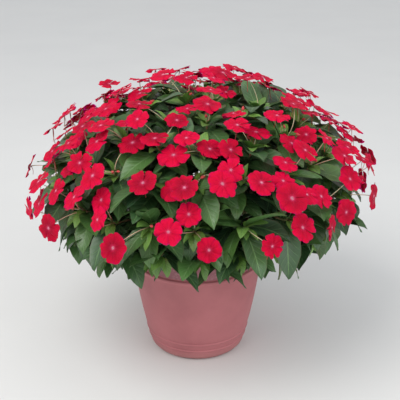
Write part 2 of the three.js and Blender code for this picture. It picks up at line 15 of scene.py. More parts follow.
import bpy
import numpy as np
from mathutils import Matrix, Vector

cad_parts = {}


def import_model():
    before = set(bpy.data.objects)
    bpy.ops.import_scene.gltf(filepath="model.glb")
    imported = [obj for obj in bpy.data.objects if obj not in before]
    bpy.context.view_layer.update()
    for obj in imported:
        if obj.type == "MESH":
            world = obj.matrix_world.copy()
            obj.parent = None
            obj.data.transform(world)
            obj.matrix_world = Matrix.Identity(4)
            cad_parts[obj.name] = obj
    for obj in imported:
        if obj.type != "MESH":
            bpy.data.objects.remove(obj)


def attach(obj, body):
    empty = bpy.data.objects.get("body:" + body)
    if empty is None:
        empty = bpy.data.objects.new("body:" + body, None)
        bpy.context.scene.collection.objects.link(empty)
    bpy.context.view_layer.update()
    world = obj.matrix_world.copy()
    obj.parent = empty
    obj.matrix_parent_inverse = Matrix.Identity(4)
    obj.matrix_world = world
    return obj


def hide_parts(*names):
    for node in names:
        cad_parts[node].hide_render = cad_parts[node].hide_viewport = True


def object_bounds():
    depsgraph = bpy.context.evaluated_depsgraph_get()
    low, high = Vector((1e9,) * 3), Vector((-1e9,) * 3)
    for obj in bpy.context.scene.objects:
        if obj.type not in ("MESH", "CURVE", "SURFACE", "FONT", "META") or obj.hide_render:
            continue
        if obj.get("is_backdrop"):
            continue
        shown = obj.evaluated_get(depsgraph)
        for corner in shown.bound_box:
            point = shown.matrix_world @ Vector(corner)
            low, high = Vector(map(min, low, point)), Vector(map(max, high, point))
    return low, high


LOG = logging.getLogger("garden_balsam")

Array = np.ndarray
Colour = tuple[float, float, float]

MM = 0.001
TURN = 2 * math.pi
UP = np.array([0.0, 0.0, 1.0])
ALONG_X = np.array([1.0, 0.0, 0.0])
PETALS = 5
BODY = "root"

# Where the directions of two faces differ by more than this, their edge stays sharp in the shading.
KNIFE_EDGE = math.radians(110)

# The angle of one step of a leaf's turn or lift when it is bent clear.
LEAF_STEP = 0.16


def unit(a: Array) -> Array:
    """Vectors along the last axis, scaled to length 1."""
    return a / np.linalg.norm(a, axis=-1, keepdims=True)


def bow(start: Array, middle: Array, end: Array, t: Any) -> Array:
    """The curve from start to end that is drawn towards middle: a mix of two mixes, at share t."""
    first = start + (middle - start) * t
    return first + (middle + (end - middle) * t - first) * t


def gathered(things: Sequence[Any], name: str) -> Array:
    """One value of each of some things, as an array."""
    return np.array([getattr(thing, name) for thing in things])


class Tissue(Enum):
    """What a point belongs to, as the number in its mark "tissue" that the materials read."""

    BLADE = 0.0
    SHOOT = 0.9
    STALK = 1.0
    BUD = 2.0
    EYE = 3.0


class Draws:
    """A seeded stream of random draws: each state is the last one times a factor, plus a step."""

    FACTOR = 1664525
    STEP = 1013904223
    SPAN = 2**32

    def __init__(self, seed: int) -> None:
        """Starts the stream at a seed."""
        self.state = seed

    def between(self, low: float, high: float) -> float:
        """The next draw between two bounds."""
        self.state = (self.state * self.FACTOR + self.STEP) % self.SPAN
        return low + (high - low) * self.state / self.SPAN

    def many(self, count: int, low: float = 0.0, high: float = 1.0) -> Array:
        """The next draws between two bounds, as an array."""
        return np.array([self.between(low, high) for _ in range(count)])


@dataclass(frozen=True)
class Mound:
    """The outer surface on which the blooms stand: an uneven, flattened ball round the pot's axis."""

    level: float = 360.0
    radius: float = 338.0
    rise: float = 206.0
    drop: float = 172.0
    first_ring: float = 0.42
    sway: tuple[float, float] = (0.025, 0.3)
    lobes: tuple[float, float] = (0.02, 1.0)

    def depth(self, level: Any) -> Any:
        """How far the mound reaches above its widest ring, or below it where level isn't positive."""
        return np.where(np.asarray(level) > 0, self.rise, self.drop)

    def unevenness(self, azimuth: Any) -> Any:
        """The radius as a share of the mean: one slow wave and one of three turns."""
        (slow, slow_start), (fast, fast_start) = self.sway, self.lobes
        return 1 + slow * np.cos(azimuth - slow_start) + fast * np.cos(3 * azimuth + fast_start)

    def point(self, polar: float, azimuth: float, share: float) -> Array:
        """A point at a polar angle from the crown and an azimuth, with the mound scaled by share."""
        r = share * self.unevenness(azimuth) * self.radius * math.sin(polar)
        height = share * math.cos(polar) * self.depth(math.cos(polar))
        return np.array([r * math.cos(azimuth), r * math.sin(azimuth), self.level + height])

    def normal(self, polar: float, azimuth: float) -> Array:
        """The direction straight out of the mound."""
        out = math.sin(polar) / self.radius
        ahead = math.cos(polar) / self.depth(math.cos(polar))
        return unit(np.array([out * math.cos(azimuth), out * math.sin(azimuth), ahead]))

    def share(self, points: Array) -> Array:
        """How far out points lie, as shares of the mound's size."""
        azimuth = np.arctan2(points[:, 1], points[:, 0])
        r = np.hypot(points[:, 0], points[:, 1]) / (self.radius * self.unevenness(azimuth))
        height = points[:, 2] - self.level
        return np.hypot(r, height / self.depth(height))

    def spread(self, draws: Draws, spacing: float, last: float, jitter: float) -> list[tuple[float, float]]:
        """Evenly spread places: rings a spacing apart, with as many places as fit on each.

        Args:
            draws: The stream that jitters them.
            spacing: Between places, along the mound.
            last: Polar angle past which there is none.
            jitter: Of each place, as a share of the spacing.

        Returns:
            Polar angle and azimuth of each place.
        """
        places = []
        polar = self.first_ring * spacing / self.radius
        while polar < last:
            fitting = max(1, math.floor(TURN * self.radius * math.sin(polar) / spacing + 0.5))
            start = draws.between(0, TURN)
            for i in range(fitting):
                azimuth = start + TURN * (i + draws.between(-jitter, jitter)) / fitting
                places.append((polar + draws.between(-jitter, jitter) * spacing / self.radius, azimuth))
            depth = float(self.depth(math.cos(polar)))
            polar += spacing / math.hypot(self.radius * math.cos(polar), depth * math.sin(polar))
        return places


@dataclass(frozen=True)
class PotSizes:
    """The pot's sizes in millimetres, as in its solid."""

    height: float = 242.0
    foot: float = 88.0
    wall: tuple[tuple[float, float], ...] = ((97.0, 7.0), (118.0, 99.0), (131.0, 190.0))
    beads: tuple[float, ...] = (24.0, 41.0)
    bead_proud: float = 1.4
    shoulder: tuple[float, float, float] = (134.5, 194.0, 199.0)
    band: tuple[float, float, float] = (131.0, 202.0, 233.0)
    rim: float = 137.0
    rim_inside: float = 128.5
    thickness: float = 4.0
    floor: float = 7.0
    drains: int = 5
    drain_radius: float = 6.0
    drain_ring: float = 52.0
    soil_level: float = 219.0
    soil_crown: float = 6.0
    seat_gap: float = 0.3

    def wall_radius(self, z: Any) -> Any:
        """The wall's radius at a height: the parabola through its low, middle and high points."""
        total: Any = 0.0
        for radius, height in self.wall:
            product: Any = radius
            for _, other in self.wall:
                if other != height:
                    product = product * (z - other) / (height - other)
            total = total + product
        return total


@dataclass(frozen=True)
class Clearance:
    """How near a new piece may come to what is already there, and how far out and down it may reach.

    The skirt is a shallow cone that opens upwards from the pot's wall, and a piece stays above it:
    level is its height there, rise its rise for each step outwards, and drop how much lower it lies
    at the clump's left and right, so that the leaves part over the pot's band at the front and back.
    """

    others: float
    own: float
    bound: float
    root_reach: float = 14.0
    pot: float = 7.0
    level: float = -1000.0
    rise: float = 0.42
    drop: float = 120.0


SOLID_BLOOM = Clearance(others=7.5, own=6.0, bound=1.2)
SOLID_LEAF = Clearance(others=7.5, own=6.0, bound=1.05)


class Room:
    """What the clump already fills: the points of each stem, shoot, bloom and leaf."""

    MOST_POINTS = 250000

    def __init__(self, mound: Mound, pot: PotSizes) -> None:
        """Starts with nothing but the pot."""
        self.mound = mound
        self.pot = pot
        self.count = 0
        self.columns = np.zeros((3, self.MOST_POINTS))
        self.owners = np.zeros(self.MOST_POINTS, int)

    def add(self, owner: int, points: Array) -> None:
        """Fills the room round some points of a stem's piece.

        Args:
            owner: The stem's number.
            points: Points of the piece, as rows.
        """
        end = self.count + len(points)
        self.columns[:, self.count : end] = points.T
        self.owners[self.count : end] = owner
        self.count = end

    def _near(self, points: Array, gap: float) -> Array:
        """Numbers of the points that lie in the box of some points, grown by a gap."""
        low, high = points.min(axis=0) - gap, points.max(axis=0) + gap
        column = self.columns[0, : self.count]
        near = np.flatnonzero((column >= low[0]) & (column <= high[0]))
        for axis in (1, 2):
            column = self.columns[axis, near]
            near = near[(column >= low[axis]) & (column <= high[axis])]
        return near

    def is_clear(self, owner: int, points: Array, root: Array, rule: Clearance) -> bool:
        """Whether a new piece stays inside the mound and clear of the pot and of all that is there.

        Args:
            owner: The number of the stem that carries it.
            points: Points of the piece, as rows.
            root: Where it springs from, near which it may touch its own stem.
            rule: The distances to keep.

        Returns:
            True if it does.
        """
        out = np.hypot(points[:, 0], points[:, 1])
        if np.any((points[:, 2] < self.pot.height + rule.pot) & (out < self.pot.rim + rule.pot)):
            return False
        skirt = rule.level + rule.rise * (out - self.pot.rim) - rule.drop * (points[:, 0] / out) ** 2
        if np.any(points[:, 2] < skirt):
            return False
        if np.any(self.mound.share(points) > rule.bound):
            return False
        near = self._near(points, max(rule.own, rule.others))
        own = self.owners[near] == owner
        free = points[np.linalg.norm(points - root, axis=1) > rule.root_reach]
        for chosen, tested, gap in ((near[~own], points, rule.others), (near[own], free, rule.own)):
            if len(chosen) and len(tested):
                steps = tested[:, :, None] - self.columns[None, :, chosen]
                if np.einsum("ijk,ijk->ik", steps, steps).min() <= gap * gap:
                    return False
        return True


@dataclass
class Stem:
    """A main stem: straight out of the soil at its foot, bent at its elbow, ending at its head."""

    number: int
    foot: Array
    elbow: Array
    head: Array
    shoots: list["Shoot"] = field(default_factory=list)


@dataclass
class Shoot:
    """A side shoot with the directions round its tip."""

    stem: Stem
    start: Array
    neck: Array
    tip: Array
    axis: Array
    normal: Array
    sideways: Array
    upwards: Array
    turn: float
    leaves: list["Leaf"] = field(default_factory=list)
    blooms: list["Bloom"] = field(default_factory=list)

    def open_from(self, opening: float, turn: float) -> Array:
        """A direction that opens from the shoot's axis by an angle, at a turn round that axis."""
        across = math.cos(turn) * self.sideways + math.sin(turn) * self.upwards
        return math.cos(opening) * self.axis + math.sin(opening) * across


@dataclass
class Leaf:
    """A leaf's place and bend. youth is 1 for the bright leaves at a tip and 0 for the oldest."""

    root: Array
    ahead: Array
    down: Array
    side: Array
    length: float
    sag: float
    roll: float
    phase: float
    youth: float = 0.15


@dataclass
class Bloom:
    """A bloom's place, and the root and knee of the stalk that carries it."""

    shoot: Shoot
    side: int
    root: Array
    knee: Array
    centre: Array
    facing: Array
    radius: float
    roll: float
    fullness: float
    sideways: Array


@dataclass(frozen=True)
class LeafForm:
    """The outline and fold of a leaf blade, and the grid on which its clearance is tested."""

    width: float = 0.47
    fold: float = 0.25
    wave_height: float = 0.03
    wave_turns: float = 9.0
    stalk: float = 1.1
    stalk_end: float = 0.1
    swell: float = 3.54
    root_power: float = 0.8
    tip_power: float = 1.05
    test_rows: int = 11
    test_across: tuple[float, ...] = (-0.9, -0.45, 0.0, 0.45, 0.9)

    def half_width(self, length: Any, s: Any) -> Any:
        """Half the width: narrow at the leaf stalk, widest before the middle, drawn out to a point.

        Past the stalk it goes by a power of the way from there, times a power of the way to the tip.

        Args:
            length: The leaf's length.
            s: Shares of the way from root to tip.

        Returns:
            Half the width at each share.
        """
        u = np.maximum(0, (s - self.stalk_end) / (1 - self.stalk_end))
        blade = self.swell * u**self.root_power * (1 - u) ** self.tip_power
        return self.stalk * (1 - s) + (self.width * length / 2 - self.stalk) * blade

    def surface(self, leaves: Sequence[Leaf], s: Array, t: Array, lift: Array, edge: Array) -> Array:
        """Points of many leaves: the midrib sags along an arc, and the blade folds up on both sides.

        Args:
            leaves: The leaves.
            s: Shares of the way from root to tip, on a grid.
            t: Shares of the way from the midrib to an edge, from -1 to 1, on the same grid.
            lift: Height above the blade's middle, as the leaf's first axis and then the grid.
            edge: A factor on the half width, on the grid.

        Returns:
            Points with the leaf as first axis, then the grid, then X, Y and Z.
        """
        grid = (slice(None),) + (None,) * s.ndim

        def number(name: str) -> Array:
            """A number of each leaf, spread over the grid."""
            return gathered(leaves, name).astype(float)[grid]

        def vector(name: str) -> Array:
            """A place or a direction of each leaf, spread over the grid."""
            return gathered(leaves, name)[(*grid, slice(None))]

        length, sag, roll, phase = number("length"), number("sag"), number("roll"), number("phase")
        ahead, down, side = vector("ahead"), vector("down"), vector("side")
        bent = sag * s
        top = ahead * np.sin(bent)[..., None] - down * np.cos(bent)[..., None]
        half = self.half_width(length, s) * edge
        wave = self.wave_height * length * t * s * np.sin(self.wave_turns * s + phase + t)
        rise = self.fold * half * t * t + wave + lift
        middle = vector("root") + ahead * (length * np.sin(bent) / sag)[..., None]
        middle = middle + down * (length * (1 - np.cos(bent)) / sag)[..., None]
        sideways = t * half * np.cos(roll) - rise * np.sin(roll)
        upwards = t * half * np.sin(roll) + rise * np.cos(roll)
        return middle + side * sideways[..., None] + top * upwards[..., None]

    def samples(self, leaf: Leaf) -> Array:
        """Points over one leaf, for the test of clearance."""
        rows, across = self.test_rows, np.array(self.test_across)
        s = (np.arange(rows) + 1)[:, None] / rows * np.ones(len(across))
        t = np.ones((rows, 1)) * across
        return self.surface([leaf], s, t, np.zeros(1)[:, None, None], np.ones(1)).reshape(-1, 3)


@dataclass(frozen=True)
class Bends:
    """The bends that a leaf may take, tried in this order until one is clear.

    A size is a share of the leaf's length, and turns and lifts are counted in steps of an angle.
    """

    sizes: tuple[float, ...]
    turns: tuple[int, ...]
    lifts: tuple[int, ...]
    step: float

    def __iter__(self) -> Iterator[tuple[float, int, int]]:
        """Each size with each turn and each lift."""
        return itertools.product(self.sizes, self.turns, self.lifts)


@dataclass(frozen=True)
class LeafPlan:
    """A leaf before it is bent.

    opening is its angle from its shoot's axis and around its turn about that axis. curve holds its
    sag, its roll, the phase of its wave and, where it isn't a large leaf, its youth.
    """

    root: Array
    opening: float
    around: float
    length: float
    curve: tuple[float, ...]


@dataclass(frozen=True)
class ExtraWhorl:
    """Leaves that fill the clump further: how deep below the tip they spring, how many, and how large.

    hem_share is the share that is kept of them on shoots that look down, and deepest how far down
    its side shoot a leaf may spring, as a share of the shoot's length.
    """

    depth: float
    count: int
    length: tuple[float, float]
    opening: tuple[float, float]
    youth: tuple[float, float]
    small: bool = False
    hem_share: float = 0.5
    room: Clearance = Clearance(others=3.2, own=2.4, bound=1.02, root_reach=12.0, pot=4.0)
    level: tuple[float, float] = (205.0, 260.0)
    jitter: float = 0.2
    sag: tuple[float, float] = (0.5, 1.2)
    roll: float = 0.4
    deepest: float = 0.8
    bends: Bends = Bends((1.0, 0.8, 0.62), (0, 1, -1, 2), (0, 1, -1), 1.4 * LEAF_STEP)


@dataclass(frozen=True)
class GrowthRule:
    """The numbers of the rule that lays out the clump, as in the solids' source."""

    seed: int = 20260
    stem_spacing: float = 196.0
    stem_jitter: float = 0.08
    last_stem: float = 2.0
    stem_ring: float = 80.0
    stem_head: float = 0.5
    stem_foot: float = 2.0
    stem_knee: float = 0.65
    stem_points: int = 16
    shoot_spacing: float = 99.5
    shoot_jitter: float = 0.12
    last_shoot: float = 2.5
    shoot_tip: float = 0.8
    shoot_lift: float = 0.45
    shoot_points: int = 15
    fork_first: float = 0.96
    fork_step: float = 0.12
    whorl_low: float = 12.0
    whorl_high: float = 7.0
    leaves: int = 3
    leaf_jitter: float = 0.1
    leaf_opening: tuple[float, float] = (0.9, 1.2)
    leaf_length: tuple[float, float] = (78.0, 110.0)
    leaf_sag: tuple[float, float] = (0.5, 1.0)
    leaf_roll: float = 0.3
    leaf_rise: float = 0.25
    leaf_bends: Bends = Bends((1.0, 0.85, 0.7), (0, 1, -1, 2, -2, 3, -3), (0, 1, 2, -1, 3), LEAF_STEP)
    skirt_level: tuple[float, float] = (175.0, 275.0)
    bloom_spacing: float = 43.5
    bloom_jitter: float = 0.3
    last_bloom: float = 1.8
    bloom_heights: tuple[float, float] = (-24.0, 12.0)
    bloom_tilt: float = 0.35
    bloom_lift: float = 0.55
    bloom_fullness: tuple[float, float] = (0.6, 0.8)
    bloom_hem: tuple[float, float] = (1.15, 2.0)
    bloom_crowds: tuple[float, float] = (-1.2, 0.45)
    crowd_lengths: tuple[float, float, float] = (27.0, 31.0, 29.0)
    crowd_start: float = 2.0
    blooms: int = 3
    bloom_radius: tuple[float, float] = (21.0, 28.0)
    bloom_tries: int = 30
    shift_step: float = 4.5
    shift_turn: float = 2.4
    stalk_least: float = 20.0
    stalk_open: float = 1.2
    stalk_sink: float = 1.5
    stalk_out: float = 0.25
    stalk_ahead: float = 0.38
    stalk_points: int = 10
    facing_least: float = 0.3
    behind_least: float = 0.3
    petal_turns: tuple[float, ...] = (-36.0, -18.0, 17.0)
    petal_lifts: tuple[float, ...] = (0.0, 0.16, -0.02)
    disc_rings: tuple[float, ...] = (1.0, 0.75, 0.4)


class Clump:
    """The plan of the whole plant: where each stem, shoot, bloom and leaf stands."""

    def __init__(self, rule: GrowthRule, mound: Mound, pot: PotSizes, form: LeafForm) -> None:
        """Lays out the stems, shoots, blooms and leaves in the order of the solids' source.

        Args:
            rule: The numbers of the rule.
            mound: The surface on which the blooms stand.
            pot: The pot that the clump keeps clear of.
            form: The leaves' outline.
        """
        self.rule = rule
        self.mound = mound
        self.pot = pot
        self.form = form
        self.draws = Draws(rule.seed)
        self.levels = Draws(rule.seed + 1)
        self.room = Room(mound, pot)
        self.stems = self._place_stems()
        self.shoots = self._place_shoots()
        self._place_blooms()
        self._place_leaves()

    def _place_stems(self) -> list[Stem]:
        """The main stems rise straight out of the soil and lean out to their heads."""
        rule = self.rule
        stems = []
        places = self.mound.spread(self.draws, rule.stem_spacing, rule.last_stem, rule.stem_jitter)
        for polar, azimuth in places:
            ring = rule.stem_ring * polar / rule.last_stem
            low = self.pot.soil_level + self.pot.soil_crown + rule.stem_foot
            foot = np.array([ring * math.cos(azimuth), ring * math.sin(azimuth), low])
            head = self.mound.point(polar, azimuth, rule.stem_head)
            knee = np.array([foot[0], foot[1], foot[2] + (head[2] - foot[2]) * rule.stem_knee])
            elbow = bow(foot, knee, head, 0.5)
            steps = np.arange(rule.stem_points)[:, None]
            lower = foot + (elbow - foot) * steps / rule.stem_points
            upper = elbow + (head - elbow) * (steps + 1) / rule.stem_points
            self.room.add(len(stems), np.concatenate([lower, upper]))
            stems.append(Stem(len(stems), foot, elbow, head))
        return stems

    def _place_shoots(self) -> list[Shoot]:
        """Each shoot leaves the stem whose head is nearest, and turns towards the light at its tip."""
        rule = self.rule
        shoots = []
        places = self.mound.spread(self.draws, rule.shoot_spacing, rule.last_shoot, rule.shoot_jitter)
        for polar, azimuth in places:
            tip = self.mound.point(polar, azimuth, rule.shoot_tip)
            normal = self.mound.normal(polar, azimuth)
            axis = unit(normal + rule.shoot_lift * UP)
            stem = min(self.stems, key=lambda one: float(np.linalg.norm(one.head - tip)))
            share = rule.fork_first - rule.fork_step * len(stem.shoots)
            start = stem.elbow + (stem.head - stem.elbow) * share
            neck = tip - rule.whorl_low * axis
            sideways = np.array([-math.sin(azimuth), math.cos(azimuth), 0.0])
            turn = self.draws.between(0, TURN)
            shoot = Shoot(stem, start, neck, tip, axis, normal, sideways, np.cross(axis, sideways), turn)
            steps = np.arange(1, rule.shoot_points + 1)[:, None]
            path = start + (neck - start) * steps / rule.shoot_points
            self.room.add(stem.number, np.vstack([path, tip]))
            stem.shoots.append(shoot)
            shoots.append(shoot)
        return shoots

    def _free_side(self, shoot: Shoot, point: Array) -> tuple[int, Array] | None:
        """The side of a tip that looks towards a point best and isn't in use, if any does.

        Args:
            shoot: The shoot.
            point: Where the bloom is.

        Returns:
            The side's number and the way it faces, or None.
        """
        towards = unit(point - shoot.tip)
        used = {bloom.side for bloom in shoot.blooms}
        count = self.rule.blooms
        sides = [
            (side, shoot.open_from(self.rule.stalk_open, shoot.turn + TURN * side / count))
            for side in range(count)
            if side not in used
        ]
        best = max(sides, key=lambda one: float(one[1] @ towards))
        return best if float(best[1] @ towards) > self.rule.facing_least else None

    def _bloom_at(self, centre: Array, facing: Array, form: tuple) -> Bloom | None:
        """A bloom with its centre at a point, and the stalk that carries it from the nearest open shoot.

        Args:
            centre: The bloom's centre.
            facing: The way it faces.
            form: Its radius, its turn, how full its outline is and a level direction along the mound.

        Returns:
            The bloom, or None where no stalk can carry it.
        """
        rule = self.rule
        free = [shoot for shoot in self.shoots if len(shoot.blooms) < rule.blooms]
        shoot = min(free, key=lambda one: float(np.linalg.norm(one.tip - centre)))
        best = self._free_side(shoot, centre)
        if best is None:
            return None
        side, out = best
        root = shoot.tip + rule.stalk_sink * out
        reach = float(np.linalg.norm(centre - root))
        if reach < rule.stalk_least or float(unit(centre - root) @ facing) < rule.behind_least:
            return None
        knee = root + rule.stalk_out * reach * out + rule.stalk_ahead * reach * shoot.axis
        return Bloom(shoot, side, root, knee, centre, facing, *form)

    def _place_blooms(self) -> None:
        """Blooms face out of the mound, and one whose place is filled moves along the mound."""
        rule, draw = self.rule, self.draws.between
        places = self.mound.spread(self.draws, rule.bloom_spacing, rule.last_bloom, rule.bloom_jitter)
        tilted = rule.bloom_tilt
        for polar, azimuth in places:
            radius = draw(*rule.bloom_radius)
            roll = draw(0, TURN)
            fullness = draw(*rule.bloom_fullness)
            height = draw(*rule.bloom_heights)
            tilt = np.array([draw(-tilted, tilted), draw(-tilted, tilted), draw(0, rule.bloom_lift)])
            normal = self.mound.normal(polar, azimuth)
            facing = unit(normal + tilt)
            sideways = np.array([-math.sin(azimuth), math.cos(azimuth), 0.0])
            upwards = np.cross(normal, sideways)
            home = self.mound.point(polar, azimuth, 1) + height * normal
            beyond_hem = draw(*rule.bloom_hem) < polar
            in_gap = draw(*rule.bloom_crowds) > self.crowding(home)
            if beyond_hem or in_gap:
                continue
            for i in range(rule.bloom_tries):
                shift, turn = rule.shift_step * math.sqrt(i), rule.shift_turn * i
                centre = home + shift * (math.cos(turn) * sideways + math.sin(turn) * upwards)
                bloom = self._bloom_at(centre, facing, (radius, roll, fullness, sideways))
                if bloom is None:
                    continue
                points = self.bloom_samples(bloom)
                if not self.room.is_clear(bloom.shoot.stem.number, points, bloom.root, SOLID_BLOOM):
                    continue
                self.room.add(bloom.shoot.stem.number, points)
                bloom.shoot.blooms.append(bloom)
                break

    def crowding(self, p: Array) -> float:
        """How thickly blooms stand at a point, from -1 to 1: three slow waves laid over each other."""
        first, second, third = self.rule.crowd_lengths
        waves = (p[0] / first + self.rule.crowd_start, p[1] / second, (p[0] + p[2]) / third)
        return sum(math.sin(wave) for wave in waves) / len(waves)

    def bloom_samples(self, bloom: Bloom) -> Array:
        """Points over a bloom and its stalk, for the test of clearance.

        Args:
            bloom: The bloom.

        Returns:
            Points of its rim and of rings inside it, then of its stalk, as rows.
        """
        rule = self.rule
        over = unit(np.cross(bloom.facing, bloom.sideways))
        across = np.cross(over, bloom.facing)
        petals = np.arange(PETALS)[:, None] / PETALS + np.array(rule.petal_turns)[None, :] / 360
        angle = bloom.roll + TURN * petals
        reach = bloom.radius * np.array([bloom.fullness, 1.0, 1.0])
        lift = bloom.radius * np.array(rule.petal_lifts) * np.ones((PETALS, 1))
        flat = across * (reach * np.cos(angle))[..., None] + over * (reach * np.sin(angle))[..., None]
        rim = (flat + bloom.facing * lift[..., None]).reshape(-1, 3)
        rim = np.stack([rim, (rim + np.roll(rim, -1, axis=0)) / 2], axis=1).reshape(-1, 3)
        disc = np.concatenate([share * rim for share in rule.disc_rings]) + bloom.centre
        shares = (np.arange(rule.stalk_points)[:, None] + 1) / rule.stalk_points
        return np.concatenate([disc, bow(bloom.root, bloom.knee, bloom.centre, shares)])

    def _bent_clear(self, shoot: Shoot, plan: LeafPlan, bends: Bends, rule: Clearance) -> Leaf | None:
        """The first of a leaf's bends that is clear, which then fills its room.

        Args:
            shoot: The shoot that carries it.
            plan: The leaf before it is bent.
            bends: The bends to try.
            rule: The distances to keep.

        Returns:
            The leaf, or None if no bend is clear.
        """
        for size, turn, lift in bends:
            opening = plan.opening + bends.step * lift
            around = plan.around + bends.step * turn
            ahead = unit(shoot.open_from(opening, around) + self.rule.leaf_rise * shoot.normal)
            down = unit(-UP + ahead[2] * ahead)
            leaf = Leaf(plan.root, ahead, down, np.cross(down, ahead), size * plan.length, *plan.curve)
            points = self.form.samples(leaf)
            if self.room.is_clear(shoot.stem.number, points, leaf.root, rule):
                self.room.add(shoot.stem.number, points)
                return leaf
        return None

    def _place_leaves(self) -> None:
        """The large leaves stand in a whorl round each tip, each bent clear of what it would cross."""
        rule, draw = self.rule, self.draws.between
        for shoot in self.shoots:
            root = shoot.tip - shoot.axis * (rule.whorl_low + rule.whorl_high) / 2
            for place in range(rule.leaves):
                turned = place + draw(-rule.leaf_jitter, rule.leaf_jitter)
                around = shoot.turn + TURN * (turned / rule.leaves)
                opening = draw(*rule.leaf_opening)
                longest = draw(*rule.leaf_length)
                curve = (draw(*rule.leaf_sag), draw(-rule.leaf_roll, rule.leaf_roll), draw(0, TURN))
                plan = LeafPlan(root, opening, around, longest, curve)
                room = replace(SOLID_LEAF, level=self.levels.between(*rule.skirt_level))
                leaf = self._bent_clear(shoot, plan, rule.leaf_bends, room)
                if leaf is not None:
                    shoot.leaves.append(leaf)

    def fill(self, whorl: ExtraWhorl, draws: Draws) -> list[tuple[Shoot, Leaf]]:
        """Adds a whorl of further leaves to every shoot, each bent clear or left out.

        Args:
            whorl: The whorl's depth, number and sizes.
            draws: The stream that varies them.

        Returns:
            Each added leaf with the shoot that carries it.
        """
        draw = draws.between
        added = []
        for shoot in self.shoots:
            base = shoot.turn + draw(0, TURN)
            below = min(whorl.depth, self.rule.whorl_low)
            beyond = max(0.0, whorl.depth - self.rule.whorl_low)
            back = shoot.start - shoot.neck
            deepest = whorl.deepest * float(np.linalg.norm(back))
            root = shoot.tip - below * shoot.axis + min(beyond, deepest) * unit(back)
            for place in range(whorl.count):
                around = base + TURN * (place + draw(-whorl.jitter, whorl.jitter)) / whorl.count
                opening = draw(*whorl.opening)
                longest = draw(*whorl.length)
                youth = draw(*whorl.youth)
                curve = (draw(*whorl.sag), draw(-whorl.roll, whorl.roll), draw(0, TURN), youth)
                room = replace(whorl.room, level=draw(*whorl.level))
                if draw(0, 1) > whorl.hem_share and shoot.normal[2] < 0:
                    continue
                plan = LeafPlan(root, opening, around, longest, curve)
                leaf = self._bent_clear(shoot, plan, whorl.bends, room)
                if leaf is not None:
                    added.append((shoot, leaf))
        return added


@dataclass
class Surface:
    """Faces between points in millimetres, with named marks on the points for the materials to read."""

    points: Array
    quads: Array
    triangles: Array
    marks: dict[str, Array]

    @staticmethod
    def joined(parts: Sequence["Surface"]) -> "Surface":
        """Several surfaces as one, with the points of each numbered on from those before it.

        Args:
            parts: The surfaces.

        Returns:
            The one surface. A mark that a part lacks is 0 on it.
        """
        starts = np.cumsum([0] + [len(part.points) for part in parts[:-1]])
        names = sorted({name for part in parts for name in part.marks})
        marks = {
            name: np.concatenate([part.marks.get(name, np.zeros(len(part.points))) for part in parts])
            for name in names
        }
        return Surface(
            np.concatenate([part.points for part in parts]),
            np.concatenate([part.quads + start for part, start in zip(parts, starts)]),
            np.concatenate([part.triangles + start for part, start in zip(parts, starts)]),
            marks,
        )

    def to_object(self, name: str, material: bpy.types.Material) -> bpy.types.Object:
        """A smooth-shaded object in metres, at the origin.

        Args:
            name: Of the object and its mesh.
            material: Its one material.

        Returns:
            The object, linked to the scene.
        """
        mesh = bpy.data.meshes.new(name)
        corners = np.concatenate([self.quads.ravel(), self.triangles.ravel()]).astype(np.int32)
        totals = np.repeat([4, 3], [len(self.quads), len(self.triangles)]).astype(np.int32)
        starts = np.concatenate([[0], np.cumsum(totals)[:-1]]).astype(np.int32)
        mesh.vertices.add(len(self.points))
        mesh.vertices.foreach_set("co", (self.points * MM).astype(np.float32).ravel())
        mesh.loops.add(len(corners))
        mesh.loops.foreach_set("vertex_index", corners)
        mesh.polygons.add(len(totals))
        mesh.polygons.foreach_set("loop_start", starts)
        mesh.polygons.foreach_set("loop_total", totals)
        mesh.polygons.foreach_set("use_smooth", np.ones(len(totals), dtype=bool))
        for mark, values in self.marks.items():
            attribute = mesh.attributes.new(mark, "FLOAT", "POINT")
            attribute.data.foreach_set("value", values.astype(np.float32))
        mesh.update(calc_edges=True)
        mesh.validate()
        mesh.set_sharp_from_angle(angle=KNIFE_EDGE)
        mesh.materials.append(material)
        thing = bpy.data.objects.new(name, mesh)
        bpy.context.scene.collection.objects.link(thing)
        return thing


def marks_on(shape: tuple[int, ...], marks: dict[str, Any]) -> dict[str, Array]:
    """Marks spread over an array of points, from whatever broadcasts to its shape."""
    return {name: np.broadcast_to(values, shape).astype(float) for name, values in marks.items()}


def loft(rings: Array, start: Array, end: Array, marks: dict[str, Any]) -> Surface:
    """Closed surfaces carried through rings of points, each shut by a fan on a pole at both ends.

    Args:
        rings: Item by ring by point by X, Y and Z; each ring runs anticlockwise seen from the end.
        start: The first pole of each item.
        end: The last pole of each item.
        marks: Values that broadcast to item by ring by point; a pole takes its ring's mean, and the
            mark "along" runs from 0 at the first pole to 1 at the last.

    Returns:
        The surfaces as one.
    """
    items, count, sides = rings.shape[:3]
    size = count * sides + 2
    points = np.concatenate([rings.reshape(items, -1, 3), start[:, None], end[:, None]], axis=1)
    here = np.arange(count * sides).reshape(count, sides)
    beside = np.roll(here, -1, axis=1)
    quads = np.stack([here[:-1], beside[:-1], beside[1:], here[1:]], axis=-1).reshape(-1, 4)
    first = np.full(sides, size - 2)
    last = np.full(sides, size - 1)
    fans = [np.stack([first, beside[0], here[0]], axis=-1), np.stack([last, here[-1], beside[-1]], axis=-1)]
    triangles = np.concatenate(fans)
    steps = (np.arange(items) * size)[:, None, None]
    spread = {}
    for name, values in marks_on((items, count, sides), marks).items():
        poles = np.stack([values[:, 0].mean(axis=1), values[:, -1].mean(axis=1)], axis=1)
        if name == "along":
            poles = np.tile([0.0, 1.0], (items, 1))
        spread[name] = np.concatenate([values.reshape(items, -1), poles], axis=1).ravel()
    quads = (quads + steps).reshape(-1, 4)
    triangles = (triangles + steps).reshape(-1, 3)
    return Surface(points.reshape(-1, 3), quads, triangles, spread)


